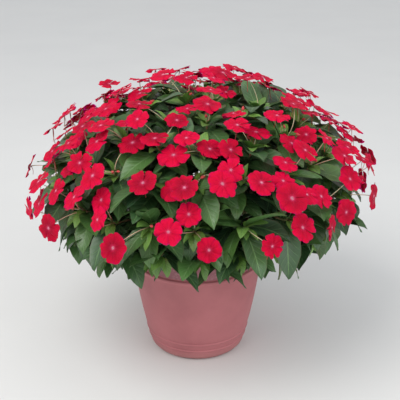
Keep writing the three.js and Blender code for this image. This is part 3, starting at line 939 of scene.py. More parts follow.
def blades(top: Array, bottom: Array, marks: dict[str, Any]) -> Surface:
    """Closed thin blades: a top and a bottom grid that share their outline.

    Args:
        top: Item by row by column by X, Y and Z. Rows cross columns anticlockwise seen from above.
        bottom: The same for the underside, whose outline isn't used.
        marks: Values that broadcast to item by row by column.

    Returns:
        The blades as one surface.
    """
    items, rows, columns = top.shape[:3]
    upper = np.arange(rows * columns).reshape(rows, columns)
    lower = upper.copy()
    hidden = np.arange((rows - 2) * (columns - 2)).reshape(rows - 2, columns - 2)
    lower[1:-1, 1:-1] = rows * columns + hidden
    size = int(lower.max()) + 1

    def cells(index: Array) -> Array:
        """The four corners of each cell of a grid of point numbers."""
        corners = [index[:-1, :-1], index[1:, :-1], index[1:, 1:], index[:-1, 1:]]
        return np.stack(corners, axis=-1).reshape(-1, 4)

    quads = np.concatenate([cells(upper), cells(lower)[:, ::-1]])
    inner = (slice(None), slice(1, -1), slice(1, -1))
    points = np.concatenate([top.reshape(items, -1, 3), bottom[inner].reshape(items, -1, 3)], axis=1)
    steps = (np.arange(items) * size)[:, None, None]
    spread = {
        name: np.concatenate([values.reshape(items, -1), values[inner].reshape(items, -1)], axis=1).ravel()
        for name, values in marks_on((items, rows, columns), marks).items()
    }
    return Surface(points.reshape(-1, 3), (quads + steps).reshape(-1, 4), np.zeros((0, 3), int), spread)


def tubes(paths: Array, radii: Array, sides: int, marks: dict[str, Any], rounding: float = 1.0) -> Surface:
    """Round tubes along paths: at each point a ring square to the path, and a rounded end beyond it.

    Args:
        paths: Item by point by X, Y and Z.
        radii: Radius, for item by point.
        sides: Points in a ring.
        marks: Values that broadcast to item by point by ring point.
        rounding: How far the ends stand out, as a share of the radius there.

    Returns:
        The tubes as one surface.
    """
    steep, straight = 0.9, 1e-3
    ahead = unit(np.gradient(paths, axis=1))
    chord = unit(paths[:, -1] - paths[:, 0])
    bulge = np.cross(paths[:, paths.shape[1] // 2] - paths[:, 0], chord)
    spare = np.cross(chord, np.where(np.abs(chord[:, 2:]) < steep, UP, ALONG_X))
    flat = np.linalg.norm(bulge, axis=1, keepdims=True) < straight
    towards = unit(np.where(flat, spare, bulge))[:, None, :]
    x = unit(towards - ahead * np.sum(towards * ahead, axis=-1, keepdims=True))
    y = np.cross(ahead, x)
    angle = TURN * np.arange(sides) / sides
    spokes = x[:, :, None] * np.cos(angle)[:, None] + y[:, :, None] * np.sin(angle)[:, None]
    rings = paths[:, :, None] + spokes * radii[:, :, None, None]
    start = paths[:, 0] - ahead[:, 0] * radii[:, :1] * rounding
    end = paths[:, -1] + ahead[:, -1] * radii[:, -1:] * rounding
    return loft(rings, start, end, marks)


class Value:
    """A number's socket in a shader, with operators that add Math nodes."""

    def __init__(self, paint: "Paint", socket: bpy.types.NodeSocket) -> None:
        """Wraps a socket of a material that is being made."""
        self.paint = paint
        self.socket = socket

    def _math(self, operation: str, *operands: Any) -> "Value":
        """One Math node on some operands."""
        return self.paint.value("ShaderNodeMath", {"operation": operation}, dict(enumerate(operands)))

    def __add__(self, other: Any) -> "Value":
        """The sum."""
        return self._math("ADD", self, other)

    __radd__ = __add__

    def __sub__(self, other: Any) -> "Value":
        """The difference."""
        return self._math("SUBTRACT", self, other)

    def __rsub__(self, other: Any) -> "Value":
        """The difference from a number."""
        return self._math("SUBTRACT", other, self)

    def __mul__(self, other: Any) -> "Value":
        """The product."""
        return self._math("MULTIPLY", self, other)

    __rmul__ = __mul__

    def __pow__(self, other: Any) -> "Value":
        """The power."""
        return self._math("POWER", self, other)

    def __abs__(self) -> "Value":
        """The size without its sign."""
        return self._math("ABSOLUTE", self)

    def part(self) -> "Value":
        """What is left above the whole number below it."""
        return self._math("FRACT", self)

    def least(self, other: Any) -> "Value":
        """The smaller of two."""
        return self._math("MINIMUM", self, other)

    def most(self, other: Any) -> "Value":
        """The larger of two."""
        return self._math("MAXIMUM", self, other)

    def rising(self, low: float, high: float) -> "Value":
        """A smooth step from 0 at low to 1 at high, or from 1 to 0 where low is above high."""
        start, stop = (0.0, 1.0) if low < high else (1.0, 0.0)
        ends = {"From Min": min(low, high), "From Max": max(low, high), "To Min": start, "To Max": stop}
        return self.paint.value(
            "ShaderNodeMapRange", {"interpolation_type": "SMOOTHSTEP"}, {"Value": self, **ends}
        )


class Paint:
    """A material as it is made: adds its nodes and ties them to its shader.

    A Mix node has sockets of one name for numbers, vectors and colours, so they go by number here.
    """

    MIX_SHARE = 0
    MIX_FIRST = 6
    MIX_SECOND = 7
    MIX_COLOUR = 2

    def __init__(self, name: str) -> None:
        """Starts a material with only its output."""
        self.material = bpy.data.materials.new(name)
        self.material.use_nodes = True
        self.tree = self.material.node_tree
        self.tree.nodes.clear()

    def node(self, kind: str, settings: dict[str, Any], sockets: dict[Any, Any]) -> bpy.types.Node:
        """Adds a node.

        Args:
            kind: Its type.
            settings: Its properties, which are set first.
            sockets: Values or links for its sockets, by name or number.

        Returns:
            The node.
        """
        node = self.tree.nodes.new(kind)
        for name, setting in settings.items():
            setattr(node, name, setting)
        for name, given in sockets.items():
            source = given.socket if isinstance(given, Value) else given
            if isinstance(source, bpy.types.NodeSocket):
                self.tree.links.new(source, node.inputs[name])
            else:
                node.inputs[name].default_value = source
        return node

    def value(self, kind: str, settings: dict[str, Any], sockets: dict[Any, Any]) -> Value:
        """Adds a node and gives its first output as a number."""
        return Value(self, self.node(kind, settings, sockets).outputs[0])

    def mark(self, name: str) -> Value:
        """A mark on the piece's points."""
        return Value(self, self.node("ShaderNodeAttribute", {"attribute_name": name}, {}).outputs["Fac"])

    def height(self) -> Value:
        """The height in metres: Z of the Object coordinates."""
        return Value(self, self.node("ShaderNodeSeparateXYZ", {}, {0: self.where()}).outputs["Z"])

    def where(self) -> bpy.types.NodeSocket:
        """Object coordinates as a vector."""
        return self.node("ShaderNodeTexCoord", {}, {}).outputs["Object"]

    def vector(self, x: Any, y: Any, z: Any) -> bpy.types.NodeSocket:
        """A vector of three numbers."""
        return self.node("ShaderNodeCombineXYZ", {}, {0: x, 1: y, 2: z}).outputs[0]

    def noise(self, scale: float, detail: float = 3.0, rough: float = 0.55, at: Any = None) -> Value:
        """Noise between 0 and 1.

        Args:
            scale: How many features to a metre, or to a unit of the vector.
            detail: How many finer octaves.
            rough: How strong they are.
            at: A vector, or None for Object coordinates.

        Returns:
            The noise.
        """
        sockets = {"Vector": at or self.where(), "Scale": scale, "Detail": detail, "Roughness": rough}
        return self.value("ShaderNodeTexNoise", {}, sockets)

    def mix(self, first: Any, second: Any, share: Any) -> bpy.types.NodeSocket:
        """Two colours mixed.

        Args:
            first: The colour at share 0.
            second: The colour at share 1.
            share: How much of the second.

        Returns:
            The mixed colour.
        """
        sockets = {
            self.MIX_FIRST: self._opaque(first),
            self.MIX_SECOND: self._opaque(second),
            self.MIX_SHARE: share,
        }
        return self.node("ShaderNodeMix", {"data_type": "RGBA"}, sockets).outputs[self.MIX_COLOUR]

    @staticmethod
    def _opaque(colour: Any) -> Any:
        """A colour with its alpha, or the socket it came as."""
        return (*colour, 1.0) if isinstance(colour, tuple) else colour

    def finish(
        self, colour: Any, roughness: Any, height: Value, depth: float, **fixed: Any
    ) -> bpy.types.Material:
        """Ties the shader together.

        Args:
            colour: Base colour.
            roughness: Roughness.
            height: Relief from 0 to 1.
            depth: How deep the relief is, in metres.
            fixed: Values of the shader's other sockets, by name with _ for each space.

        Returns:
            The material.
        """
        bump = self.node("ShaderNodeBump", {}, {"Height": height, "Distance": depth, "Strength": 1.0})
        sockets = {"Base Color": self._opaque(colour), "Roughness": roughness, "Normal": bump.outputs[0]}
        sockets |= {name.replace("_", " "): value for name, value in fixed.items()}
        shader = self.node("ShaderNodeBsdfPrincipled", {}, sockets)
        self.node("ShaderNodeOutputMaterial", {}, {"Surface": shader.outputs[0]})
        return self.material


def linear(share: float) -> float:
    """A share of a screen's light, by the screens' common curve, as a share of full light."""
    return share / 12.92 if share < 0.04045 else ((share + 0.055) / 1.055) ** 2.4


def tone(red: int, green: int, blue: int) -> Colour:
    """A colour given as screen values from 0 to 255, as a shader takes it."""
    return linear(red / 255), linear(green / 255), linear(blue / 255)


@dataclass(frozen=True)
class FoliageFinish:
    """Satin leaves with sunk veins, darker when old and yellow-green when young, on fleshy stems."""

    old: Colour = tone(64, 104, 54)
    dark: Colour = tone(34, 66, 48)
    young: Colour = tone(116, 158, 68)
    heart: Colour = tone(150, 92, 50)
    vein: Colour = tone(112, 150, 92)
    edge: Colour = tone(96, 66, 44)
    stem: Colour = tone(132, 142, 92)
    blush: Colour = tone(150, 84, 76)
    veins: float = 8.0
    depth: float = 0.001
    coat: float = 0.3
    coat_roughness: float = 0.28
    specular: float = 0.5

    def make(self) -> bpy.types.Material:
        """Colour and relief from the marks along and across a leaf, with noise for each leaf.

        Returns:
            The material.
        """
        paint = Paint("foliage")
        along, across = paint.mark("along"), paint.mark("across")
        shade, youth, tissue = paint.mark("shade"), paint.mark("youth"), paint.mark("tissue")
        aside = abs(across)
        rib = aside.rising(0.10, 0.015)
        arch = (along * self.veins - (aside**0.85) * 1.7).part()
        vein = abs(arch - 0.5).rising(0.10, 0.02) * aside.rising(0.98, 0.6) * along.rising(0.04, 0.2)
        mottle = paint.noise(55, 4)
        fine = paint.noise(420, 3)
        leaf = paint.mix(self.dark, self.old, (mottle * 0.8 + shade * 1.2 - 0.5).rising(0.0, 1.0))
        leaf = paint.mix(leaf, self.young, youth * (0.85 + 0.3 * fine).least(1.0))
        leaf = paint.mix(leaf, self.heart, youth.rising(0.75, 1.0) * along.rising(0.5, 0.05) * 0.6)
        leaf = paint.mix(leaf, self.vein, rib * 0.6 + vein * 0.3)
        teeth = (along * 24).part().rising(0.25, 0.8)
        leaf = paint.mix(leaf, self.edge, aside.rising(0.93, 1.0) * (0.25 + 0.45 * teeth))
        stem = paint.mix(self.stem, self.blush, (mottle * 1.3 - 0.35 + shade * 0.3).rising(0.1, 0.9))
        colour = paint.mix(leaf, stem, tissue)
        relief = 0.55 - rib * 0.4 - vein * 0.35 + fine * 0.2 + abs(arch - 0.5) * 0.45
        roughness = 0.34 + fine * 0.16 + tissue * 0.1
        return paint.finish(
            colour,
            roughness,
            relief,
            self.depth,
            Coat_Weight=self.coat,
            Coat_Roughness=self.coat_roughness,
            Specular_IOR_Level=self.specular,
        )


@dataclass(frozen=True)
class PetalFinish:
    """Velvety scarlet petals, crimson towards the pale eye, with fine veins, on pale rosy stalks; painted
    light and shade lie in the petals' colour.
    """

    scarlet: Colour = tone(205, 0, 49)
    # A darker copy of scarlet: the petals' own deeper red and their veins, and also their painted shade.
    crimson: Colour = tone(147, 0, 37)
    # A brighter, pinker red that the petals take as a painted highlight.
    painted_highlight: Colour = tone(232, 0, 72)
    eye: Colour = tone(248, 152, 178)
    blush: Colour = tone(246, 58, 110)
    stalk: Colour = tone(198, 194, 158)
    rosy: Colour = tone(196, 148, 132)
    bud: Colour = tone(206, 84, 84)
    depth: float = 0.0011
    specular: float = 0.1
    scatter: float = 0.4
    scatter_reach: tuple[float, float, float] = (0.0016, 0.0008, 0.0008)

    def make(self) -> bpy.types.Material:
        """Colour and relief from the marks along and across a petal, with noise for each bloom.

        Returns:
            The material.
        """
        paint = Paint("petals")
        along, across = paint.mark("along"), paint.mark("across")
        shade, tissue = paint.mark("shade"), paint.mark("tissue")
        fine = paint.noise(500, 3)
        soft = paint.noise(60, 3)
        strand = paint.vector(across * 9, along * 0.8, shade * 40)
        veins = paint.noise(3.2, 3, 0.6, strand)
        # Painted light and shade: where the share lit is low the petal is crimson, a darker copy of its
        # scarlet, partly its own deeper red towards the eye; the next mix lays a brighter painted highlight
        # over the outer petal.
        lit = along * 0.7 + soft * 0.5 + shade * 0.7 - 0.3
        petal = paint.mix(self.crimson, self.scarlet, lit.rising(0.0, 0.9))
        petal = paint.mix(petal, self.painted_highlight, (along * 0.6 + soft + shade * 0.6 - 1.0).rising(0.0, 0.8) * 0.6)
        petal = paint.mix(petal, self.crimson, veins.rising(0.45, 0.75) * 0.5)
        aside = abs(across)
        # Painted shade: the petal is darkened towards crimson in the crease along its middle and at its
        # sides, where the petals overlap.
        crease = aside.rising(0.1, 0.0) * along.rising(1.0, 0.5)
        side = aside.rising(0.72, 1.0)
        petal = paint.mix(petal, self.crimson, (crease * 0.25).most(side * 0.25))
        streak = veins.rising(0.5, 0.3) * aside.rising(0.75, 0.1) * along.rising(0.85, 0.3)
        petal = paint.mix(petal, self.blush, (along.rising(0.36, 0.06) * 0.42).most(streak * 0.3))
        petal = paint.mix(petal, self.eye, along.rising(0.16, 0.04) * 0.7)
        stalk = paint.mix(self.stalk, self.rosy, (soft * 1.2 + shade * 0.6 - 0.4).rising(0.1, 0.9))
        green = tissue.rising(0.2, 0.5) * tissue.rising(1.5, 1.2)
        colour = paint.mix(petal, stalk, green)
        colour = paint.mix(colour, self.bud, tissue.rising(1.5, 1.8) * tissue.rising(2.5, 2.2))
        colour = paint.mix(colour, self.eye, tissue.rising(2.5, 2.8))
        relief = veins * 0.7 + fine * 0.2 - crease * 0.35 - side * 0.3
        roughness = 0.58 + fine * 0.12
        return paint.finish(
            colour,
            roughness,
            relief,
            self.depth,
            Specular_IOR_Level=self.specular,
            Subsurface_Weight=self.scatter,
            Subsurface_Radius=self.scatter_reach,
            Subsurface_Scale=1.0,
        )


@dataclass(frozen=True)
class PotFinish:
    """Matte terracotta-pink moulded plastic, with a darker, mottled band and a little dust."""

    body: Colour = tone(182, 110, 114)
    deep: Colour = tone(165, 97, 101)
    band: Colour = tone(150, 96, 103)
    line: Colour = tone(190, 142, 146)
    dust: Colour = tone(176, 138, 130)
    depth: float = 0.0001
    specular: float = 0.4
    band_edge: float = 0.0005

    def make(self, low: float, high: float) -> bpy.types.Material:
        """Colour by height on the pot, with mottling, and a painted highlight on the raised lines of the
        band.

        Args:
            low: Height at which the band starts, in metres.
            high: Height at which it ends.

        Returns:
            The material.
        """
        paint = Paint("pot_plastic")
        z = paint.height()
        line, inside = paint.mark("line"), paint.mark("inside")
        cloud, grain, speck = paint.noise(9, 4), paint.noise(900, 2), paint.noise(160, 4)
        colour = paint.mix(self.deep, self.body, (cloud * 1.2 - 0.1).rising(0.15, 0.75))
        edge = self.band_edge
        banded = z.rising(low - edge, low + edge) * z.rising(high + edge, high - edge)
        banded = banded * (1 - inside)
        mottled = paint.mix(self.band, self.line, (speck * 1.6 - 0.62).rising(0.1, 0.7) * 0.55)
        colour = paint.mix(colour, mottled, banded)
        # Painted highlight: the band's raised lines are painted lighter, as where they catch the light.
        colour = paint.mix(colour, self.line, line * 0.6)
        dusty = z.rising(0.03, 0.0) * 0.35 + speck.rising(0.62, 0.8) * 0.12
        colour = paint.mix(colour, self.dust, dusty)
        roughness = 0.52 + cloud * 0.1 + speck * 0.08
        relief = grain * 0.6 + speck * 0.4
        return paint.finish(colour, roughness, relief, self.depth, Specular_IOR_Level=self.specular)


@dataclass(frozen=True)
class SoilFinish:
    """Dark crumbly potting soil with pale specks of perlite."""

    dark: Colour = tone(34, 25, 20)
    brown: Colour = tone(72, 54, 42)
    perlite: Colour = tone(196, 190, 178)
    depth: float = 0.0016
    specular: float = 0.25

    def make(self) -> bpy.types.Material:
        """Colour from noise at two scales, and pale where a crumb is marked as perlite.

        Returns:
            The material.
        """
        paint = Paint("potting_soil")
        clod, crumb = paint.noise(120, 5, 0.65), paint.noise(700, 3)
        colour = paint.mix(self.dark, self.brown, (clod * 1.5 - 0.45).rising(0.1, 0.8))
        colour = paint.mix(colour, self.perlite, paint.mark("pale"))
        roughness = 0.85 + crumb * 0.15
        relief = clod * 0.6 + crumb * 0.4
        return paint.finish(colour, roughness, relief, self.depth, Specular_IOR_Level=self.specular)


@dataclass(frozen=True)
class FloorFinish:
    """A plain pale floor."""

    light: Colour = tone(226, 226, 224)
    shade: Colour = tone(218, 218, 217)
    depth: float = 0.0002

    def make(self) -> bpy.types.Material:
        """A faint cloudiness with a slight relief.

        Returns:
            The material.
        """
        paint = Paint("studio_floor")
        cloud = paint.noise(3, 3)
        colour = paint.mix(self.shade, self.light, cloud)
        return paint.finish(colour, 0.75 + cloud * 0.1, cloud, self.depth)


def dress(thing: bpy.types.Object, node: str) -> bpy.types.Object:
    """Hands a finished piece to the frame: it rides on the one body and stands for a node."""
    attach(thing, BODY)
    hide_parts(node)
    LOG.info("%s: %d faces, for %s", thing.name, len(thing.data.polygons), node)
    return thing


@dataclass
class Foliage:
    """The fine stems and leaves, one piece for each leafy stem.

    Each ring of a leaf has points at ring_across, from edge to edge, and on the side ring_side of
    its middle: -1 is the underside and 1 the top. A blade is thickest at its root.
    """

    form: LeafForm
    thickness: float = 0.9
    root_thick: float = 1.3
    tooth: float = 0.95
    ring_across: tuple[float, ...] = (1.0, 0.5, 0.0, -0.5, -1.0, -0.5, 0.0, 0.5)
    ring_side: tuple[float, ...] = (0.0, -1.0, -1.0, -1.0, 0.0, 1.0, 1.0, 1.0)
    large_rows: tuple[float, ...] = (0.06, 0.14, 0.24, 0.36, 0.48, 0.60, 0.72, 0.83, 0.92, 0.97)
    small_rows: tuple[float, ...] = (0.08, 0.2, 0.38, 0.56, 0.74, 0.9)
    hole_bottom: float = 174.3
    stem_radius: tuple[float, float] = (4.6, 4.0)
    stem_share: float = 0.94
    stem_points: int = 26
    stem_sides: int = 8
    stem_shade: float = 0.35
    knot_swell: float = 0.16
    knot_every: float = 48.0
    knot_width: float = 3.0
    shoot_radius: tuple[float, float] = (2.7, 2.3)
    shoot_share: float = 0.8
    shoot_sides: int = 7
    shoot_low: tuple[float, ...] = (0.0, 0.12, 0.3, 0.5, 0.7, 0.88)
    shoot_high: tuple[float, ...] = (0.0, 0.5, 0.92)
    shoot_swell: tuple[float, ...] = (1.1, 1.0, 0.9, 0.9, 0.95, 1.0, 1.12, 1.1, 0.7)

    def leaves(self, leaves: Sequence[Leaf], rows: tuple[float, ...], shades: Array) -> Surface:
        """Leaves as lofts: each ring runs from the right edge along the underside and back over the top.

        Args:
            leaves: The leaves.
            rows: Shares of the length at which the rings lie.
            shades: A random share for each leaf.

        Returns:
            The leaves as one surface.
        """
        t, side = np.array(self.ring_across), np.array(self.ring_side)
        s = np.array(rows)[:, None] * np.ones(len(t))
        across = t * np.ones((len(rows), 1))
        edge = np.where(np.arange(len(rows)) % 2 == 1, 1.0, self.tooth)[:, None]
        half = self.thickness / 2 * (self.root_thick - s) * side
        rings = self.form.surface(leaves, s, across, half[None], edge)
        both_ends = np.array([[0.0, 1.0]])
        level, full = np.zeros((1, 2)), np.ones((1, 2))
        ends = self.form.surface(leaves, both_ends, level, np.zeros((1, 1, 1)), full)
        marks = {
            "along": s,
            "across": across,
            "shade": shades[:, None, None],
            "youth": gathered(leaves, "youth")[:, None, None],
            "tissue": Tissue.BLADE.value,
        }
        return loft(rings, ends[:, 0, 0], ends[:, 0, 1], marks)

    def stem(self, stem: Stem) -> Surface:
        """The main stem: a tube that is drawn along its bend, thicker at each joint.

        A joint's swelling falls off as a bell curve with the distance from it.

        Args:
            stem: The stem's place.

        Returns:
            The tube.
        """
        bottom = np.array([stem.foot[0], stem.foot[1], self.hole_bottom])
        corners = np.array([bottom, stem.foot, stem.elbow, stem.head])
        walked = np.concatenate([[0], np.cumsum(np.linalg.norm(np.diff(corners, axis=0), axis=1))])
        stations = np.linspace(0, walked[-1], self.stem_points)
        path = np.stack([np.interp(stations, walked, corners[:, k]) for k in range(3)], axis=1)
        path[1:-1] = 0.25 * path[:-2] + 0.5 * path[1:-1] + 0.25 * path[2:]
        off = stations % self.knot_every - self.knot_every / 2
        knots = 1 + self.knot_swell * np.exp(-(off**2) / (2 * self.knot_width**2))
        radii = np.interp(stations, walked[[0, -1]], self.stem_radius) * knots
        marks = {
            "along": np.linspace(0, 1, self.stem_points)[None, :, None],
            "shade": self.stem_shade,
            "tissue": Tissue.STALK.value,
        }
        return tubes(path[None], radii[None] * self.stem_share, self.stem_sides, marks)

    def side_shoots(self, shoots: Sequence[Shoot], shades: Array) -> Surface:
        """The side shoots: tubes from the main stem to the neck and up to the tip.

        Args:
            shoots: The shoots.
            shades: A random share for each.

        Returns:
            The tubes as one surface.
        """
        start, neck, tip = (gathered(shoots, name)[:, None] for name in ("start", "neck", "tip"))
        low, high = np.array(self.shoot_low)[:, None], np.array(self.shoot_high)[:, None]
        paths = np.concatenate([start + (neck - start) * low, neck + (tip - neck) * high], axis=1)
        radii = np.linspace(*self.shoot_radius, paths.shape[1]) * np.array(self.shoot_swell)
        radii = np.tile(radii, (len(shoots), 1)) * self.shoot_share
        marks = {"along": 0.5, "shade": shades[:, None, None], "tissue": Tissue.SHOOT.value}
        return tubes(paths, radii, self.shoot_sides, marks)


@dataclass(frozen=True)
class Bud:
    """A bud's place and size: it leans out from a tip, past its shoot's axis."""

    root: Array
    out: Array
    axis: Array
    reach: float
    size: float
    shade: float


@dataclass
class Blossom:
    """The fine blooms with their stalks, spurs and eyes, and the buds, one piece for each leafy stem.

    Lengths are in millimetres, a petal's angles in degrees and a bud's opening in radians. The
    radii of stalks, spurs and buds run from root to tip. Every other pair of numbers is a range to
    draw from.
    """

    petal_rows: tuple[float, ...] = (0.05, 0.4, 0.74, 1.0)
    petal_columns: int = 9
    petal_half: float = 0.28
    petal_turn: float = 2.5
    petal_tilt: tuple[float, float] = (-0.12, 0.09)
    spread: float = 43.0
    spread_inside: float = 0.93
    spread_gain: float = 0.07
    reach: tuple[float, float] = (0.98, 1.1)
    notch: tuple[float, float] = (0.04, 0.17)
    notch_shift: float = 0.12
    notch_width: float = 0.26
    scallop: tuple[float, float] = (0.0, 0.035)
    scallop_waves: float = 3.6
    shoulder: float = 36.0
    shoulder_power: int = 5
    valley_fill: float = 0.13
    ripple: tuple[float, float] = (0.7, 2.0)
    ripple_waves: float = 5.2
    cup: float = 0.038
    overlap: float = 0.045
    droop: tuple[float, float] = (0.02, 0.13)
    crease_depth: float = 1.5
    crease_width: float = 0.25
    stalk_radii: tuple[float, float] = (0.9, 0.65)
    stalk_flare: float = 1.5
    stalk_points: int = 8
    stalk_sides: int = 5
    stalk_back: float = 1.6
    spur_length: float = 24.0
    spur_share: tuple[float, float] = (0.8, 1.15)
    spur_aside: float = 0.5
    spur_radii: tuple[float, ...] = (1.1, 0.8, 0.6, 0.5, 0.42, 0.36)
    spur_sides: int = 4
    eye_radius: float = 0.95
    eye_shares: tuple[float, ...] = (1.0, 1.0, 0.6)
    eye_steps: tuple[float, ...] = (-0.6, 0.4, 0.9)
    eye_sides: int = 6
    blunt: float = 0.5
    bud_tries: int = 2
    bud_chance: float = 0.6
    bud_hem: float = -0.25
    bud_opening: tuple[float, float] = (0.15, 0.7)
    bud_reach: tuple[float, float] = (16.0, 30.0)
    bud_size: tuple[float, float] = (2.2, 3.6)
    bud_stalk_radii: tuple[float, float] = (0.9, 0.6)
    bud_stalk_points: int = 5
    bud_stalk_sides: int = 4
    bud_steps: tuple[float, ...] = (-0.2, 0.5, 1.3, 2.2, 2.9)
    bud_radii: tuple[float, ...] = (0.35, 0.95, 1.0, 0.62, 0.22)
    bud_sides: int = 6

    def frames(self, blooms: Sequence[Bloom]) -> tuple[Array, Array, Array]:
        """The across, over and facing directions of blooms.

        Args:
            blooms: The blooms.

        Returns:
            The three directions of each, as rows.
        """
        facing = gathered(blooms, "facing")
        over = unit(np.cross(facing, gathered(blooms, "sideways")))
        return np.cross(over, facing), over, facing

    def petals(self, blooms: Sequence[Bloom], draws: Draws) -> Surface:
        """Five petals a bloom, each a fan from the eye to a rim with a notch in its middle.

        A petal's point lies at a share r of the way out and at a share a across, from -1 to 1. Its
        angle is a times the spread. Its rim is full, less a bell-shaped notch near a = 0 and less the
        rounding of its shoulders. One side rides over the next petal and the other slips under.

        Args:
            blooms: The blooms.
            draws: The stream that varies them.

        Returns:
            The petals as one surface.
        """

        def draw(low: float, high: float) -> Array:
            """A draw for each petal."""
            return draws.many(PETALS * len(blooms), low, high)[:, None, None]

        def each(values: Array) -> Array:
            """A value of each bloom, once for each of its petals."""
            return np.repeat(values, PETALS, axis=0)[:, None, None]

        a = np.linspace(-1, 1, self.petal_columns)[None, None, :]
        r = np.array(self.petal_rows)[None, :, None]
        radius, roll = each(gathered(blooms, "radius")), each(gathered(blooms, "roll"))
        turn = np.tile(TURN * np.arange(PETALS) / PETALS, len(blooms))[:, None, None]
        valley = each(gathered(blooms, "fullness") + self.valley_fill)
        reach, notch = draw(*self.reach), draw(*self.notch)
        off = (a - draw(-self.notch_shift, self.notch_shift)) / self.notch_width
        rim = reach * (1 - notch * np.exp(-(off**2)))
        rim = rim + draw(*self.scallop) * np.sin(self.scallop_waves * a + draw(0, TURN))
        rim = rim - (1 - valley) * (np.abs(a) * self.spread / self.shoulder) ** self.shoulder_power
        fan = self.spread * a * (self.spread_inside + self.spread_gain * r)
        angle = roll + turn + np.radians(draw(-self.petal_turn, self.petal_turn) + fan)
        ripple = draw(*self.ripple) * np.sin(self.ripple_waves * a + draw(0, TURN)) * r**3
        bowl = r**1.3 * (self.cup - self.overlap * a)
        lift = radius * (bowl - draw(*self.droop) * r**3 * (0.5 + a * a))
        lift = lift + radius * draw(*self.petal_tilt) * r**1.6
        crease = self.crease_depth * r * (1 - r) * np.exp(-((a / self.crease_width) ** 2))
        lift = lift + ripple - crease
        flat = radius * r * rim
        across, over, facing = (each(part) for part in self.frames(blooms))
        aside, ahead = (flat * np.cos(angle))[..., None], (flat * np.sin(angle))[..., None]
        middle = each(gathered(blooms, "centre")) + across * aside + over * ahead
        top = middle + facing * (lift + self.petal_half)[..., None]
        bottom = middle + facing * (lift - self.petal_half)[..., None]
        outline = middle + facing * lift[..., None]
        top[:, [0, -1]] = outline[:, [0, -1]]
        top[:, :, [0, -1]] = outline[:, :, [0, -1]]
        shade = each(draws.many(len(blooms)))
        return blades(top, bottom, {"along": r, "across": a, "shade": shade, "tissue": Tissue.BLADE.value})

    def stalks(self, blooms: Sequence[Bloom], draws: Draws) -> list[Surface]:
        """The bowed stalk, the thin curled spur and the eye of each bloom.

        Args:
            blooms: The blooms.
            draws: The stream that varies them.

        Returns:
            The three kinds of pieces, each as one surface.
        """
        across, _, facing = self.frames(blooms)
        centre, root, knee = (gathered(blooms, name) for name in ("centre", "root", "knee"))
        back = centre - self.stalk_back * facing
        shade = draws.many(len(blooms))[:, None, None]
        t = np.linspace(0, 1, self.stalk_points)[None, :, None]
        path = bow(root[:, None], knee[:, None], back[:, None], t)
        radii = np.tile(np.linspace(*self.stalk_radii, self.stalk_points), (len(blooms), 1))
        radii[:, -1] *= self.stalk_flare
        marks = {"along": t, "shade": shade, "tissue": Tissue.STALK.value}
        stalk = tubes(path, radii, self.stalk_sides, marks, self.blunt)
        aside = draws.many(len(blooms), -self.spur_aside, self.spur_aside)[:, None]
        down = unit(-UP - 0.2 * facing + aside * across)
        length = self.spur_length * draws.many(len(blooms), *self.spur_share)[:, None]
        bend = back + 0.5 * length * unit(down - 0.5 * facing)
        end = back + length * unit(down + 0.1 * facing)
        t = np.linspace(0, 1, len(self.spur_radii))[None, :, None]
        path = bow(back[:, None], bend[:, None], end[:, None], t)
        radii = np.tile(self.spur_radii, (len(blooms), 1))
        marks = {"along": 0.7, "shade": shade, "tissue": Tissue.BUD.value}
        spur = tubes(path, radii, self.spur_sides, marks)
        path = centre[:, None] + facing[:, None] * np.array(self.eye_steps)[:, None]
        radii = np.tile(self.eye_radius * np.array(self.eye_shares), (len(blooms), 1))
        marks = {"along": 0.0, "shade": shade, "tissue": Tissue.EYE.value}
        eye = tubes(path, radii, self.eye_sides, marks, self.blunt)
        return [stalk, spur, eye]

    def _picked(self, shoots: Sequence[Shoot], draws: Draws) -> list[Bud]:
        """The buds that some shoots carry: two at most, and none where a shoot looks down.

        Args:
            shoots: The shoots.
            draws: The stream that picks and varies them.

        Returns:
            The buds.
        """
        draw = draws.between
        picked = []
        for shoot in shoots:
            for _ in range(self.bud_tries):
                out = shoot.open_from(draw(*self.bud_opening), draw(0, TURN))
                reach, size, shade = draw(*self.bud_reach), draw(*self.bud_size), draw(0, 1)
                if draw(0, 1) < self.bud_chance and shoot.normal[2] > self.bud_hem:
                    picked.append(Bud(shoot.tip, out, shoot.axis, reach, size, shade))
        return picked

    def buds(self, shoots: Sequence[Shoot], draws: Draws) -> list[Surface]:
        """Pointed buds on short stalks above the tips.

        Args:
            shoots: The shoots that may carry one.
            draws: The stream that picks and varies them.

        Returns:
            The buds' stalks and the buds, each as one surface, or nothing where no shoot has one.
        """
        picked = self._picked(shoots, draws)
        if not picked:
            return []
        root, out, axis = (gathered(picked, name) for name in ("root", "out", "axis"))
        reach, size, shade = (gathered(picked, name)[:, None] for name in ("reach", "size", "shade"))
        end = root + out * reach
        knee = root + (0.5 * axis + 0.2 * out) * reach
        t = np.linspace(0, 1, self.bud_stalk_points)[None, :, None]
        path = bow(root[:, None], knee[:, None], end[:, None], t)
        radii = np.tile(np.linspace(*self.bud_stalk_radii, self.bud_stalk_points), (len(picked), 1))
        marks = {"along": 0.8, "shade": shade[:, None], "tissue": Tissue.STALK.value}
        stalk = tubes(path, radii, self.bud_stalk_sides, marks)
        steps = np.array(self.bud_steps)[None, :, None] * size[:, None]
        path = end[:, None] + unit(end - knee)[:, None] * steps
        radii = size * np.array(self.bud_radii)
        bud = tubes(path, radii, self.bud_sides, {**marks, "tissue": Tissue.BUD.value})
        return [stalk, bud]


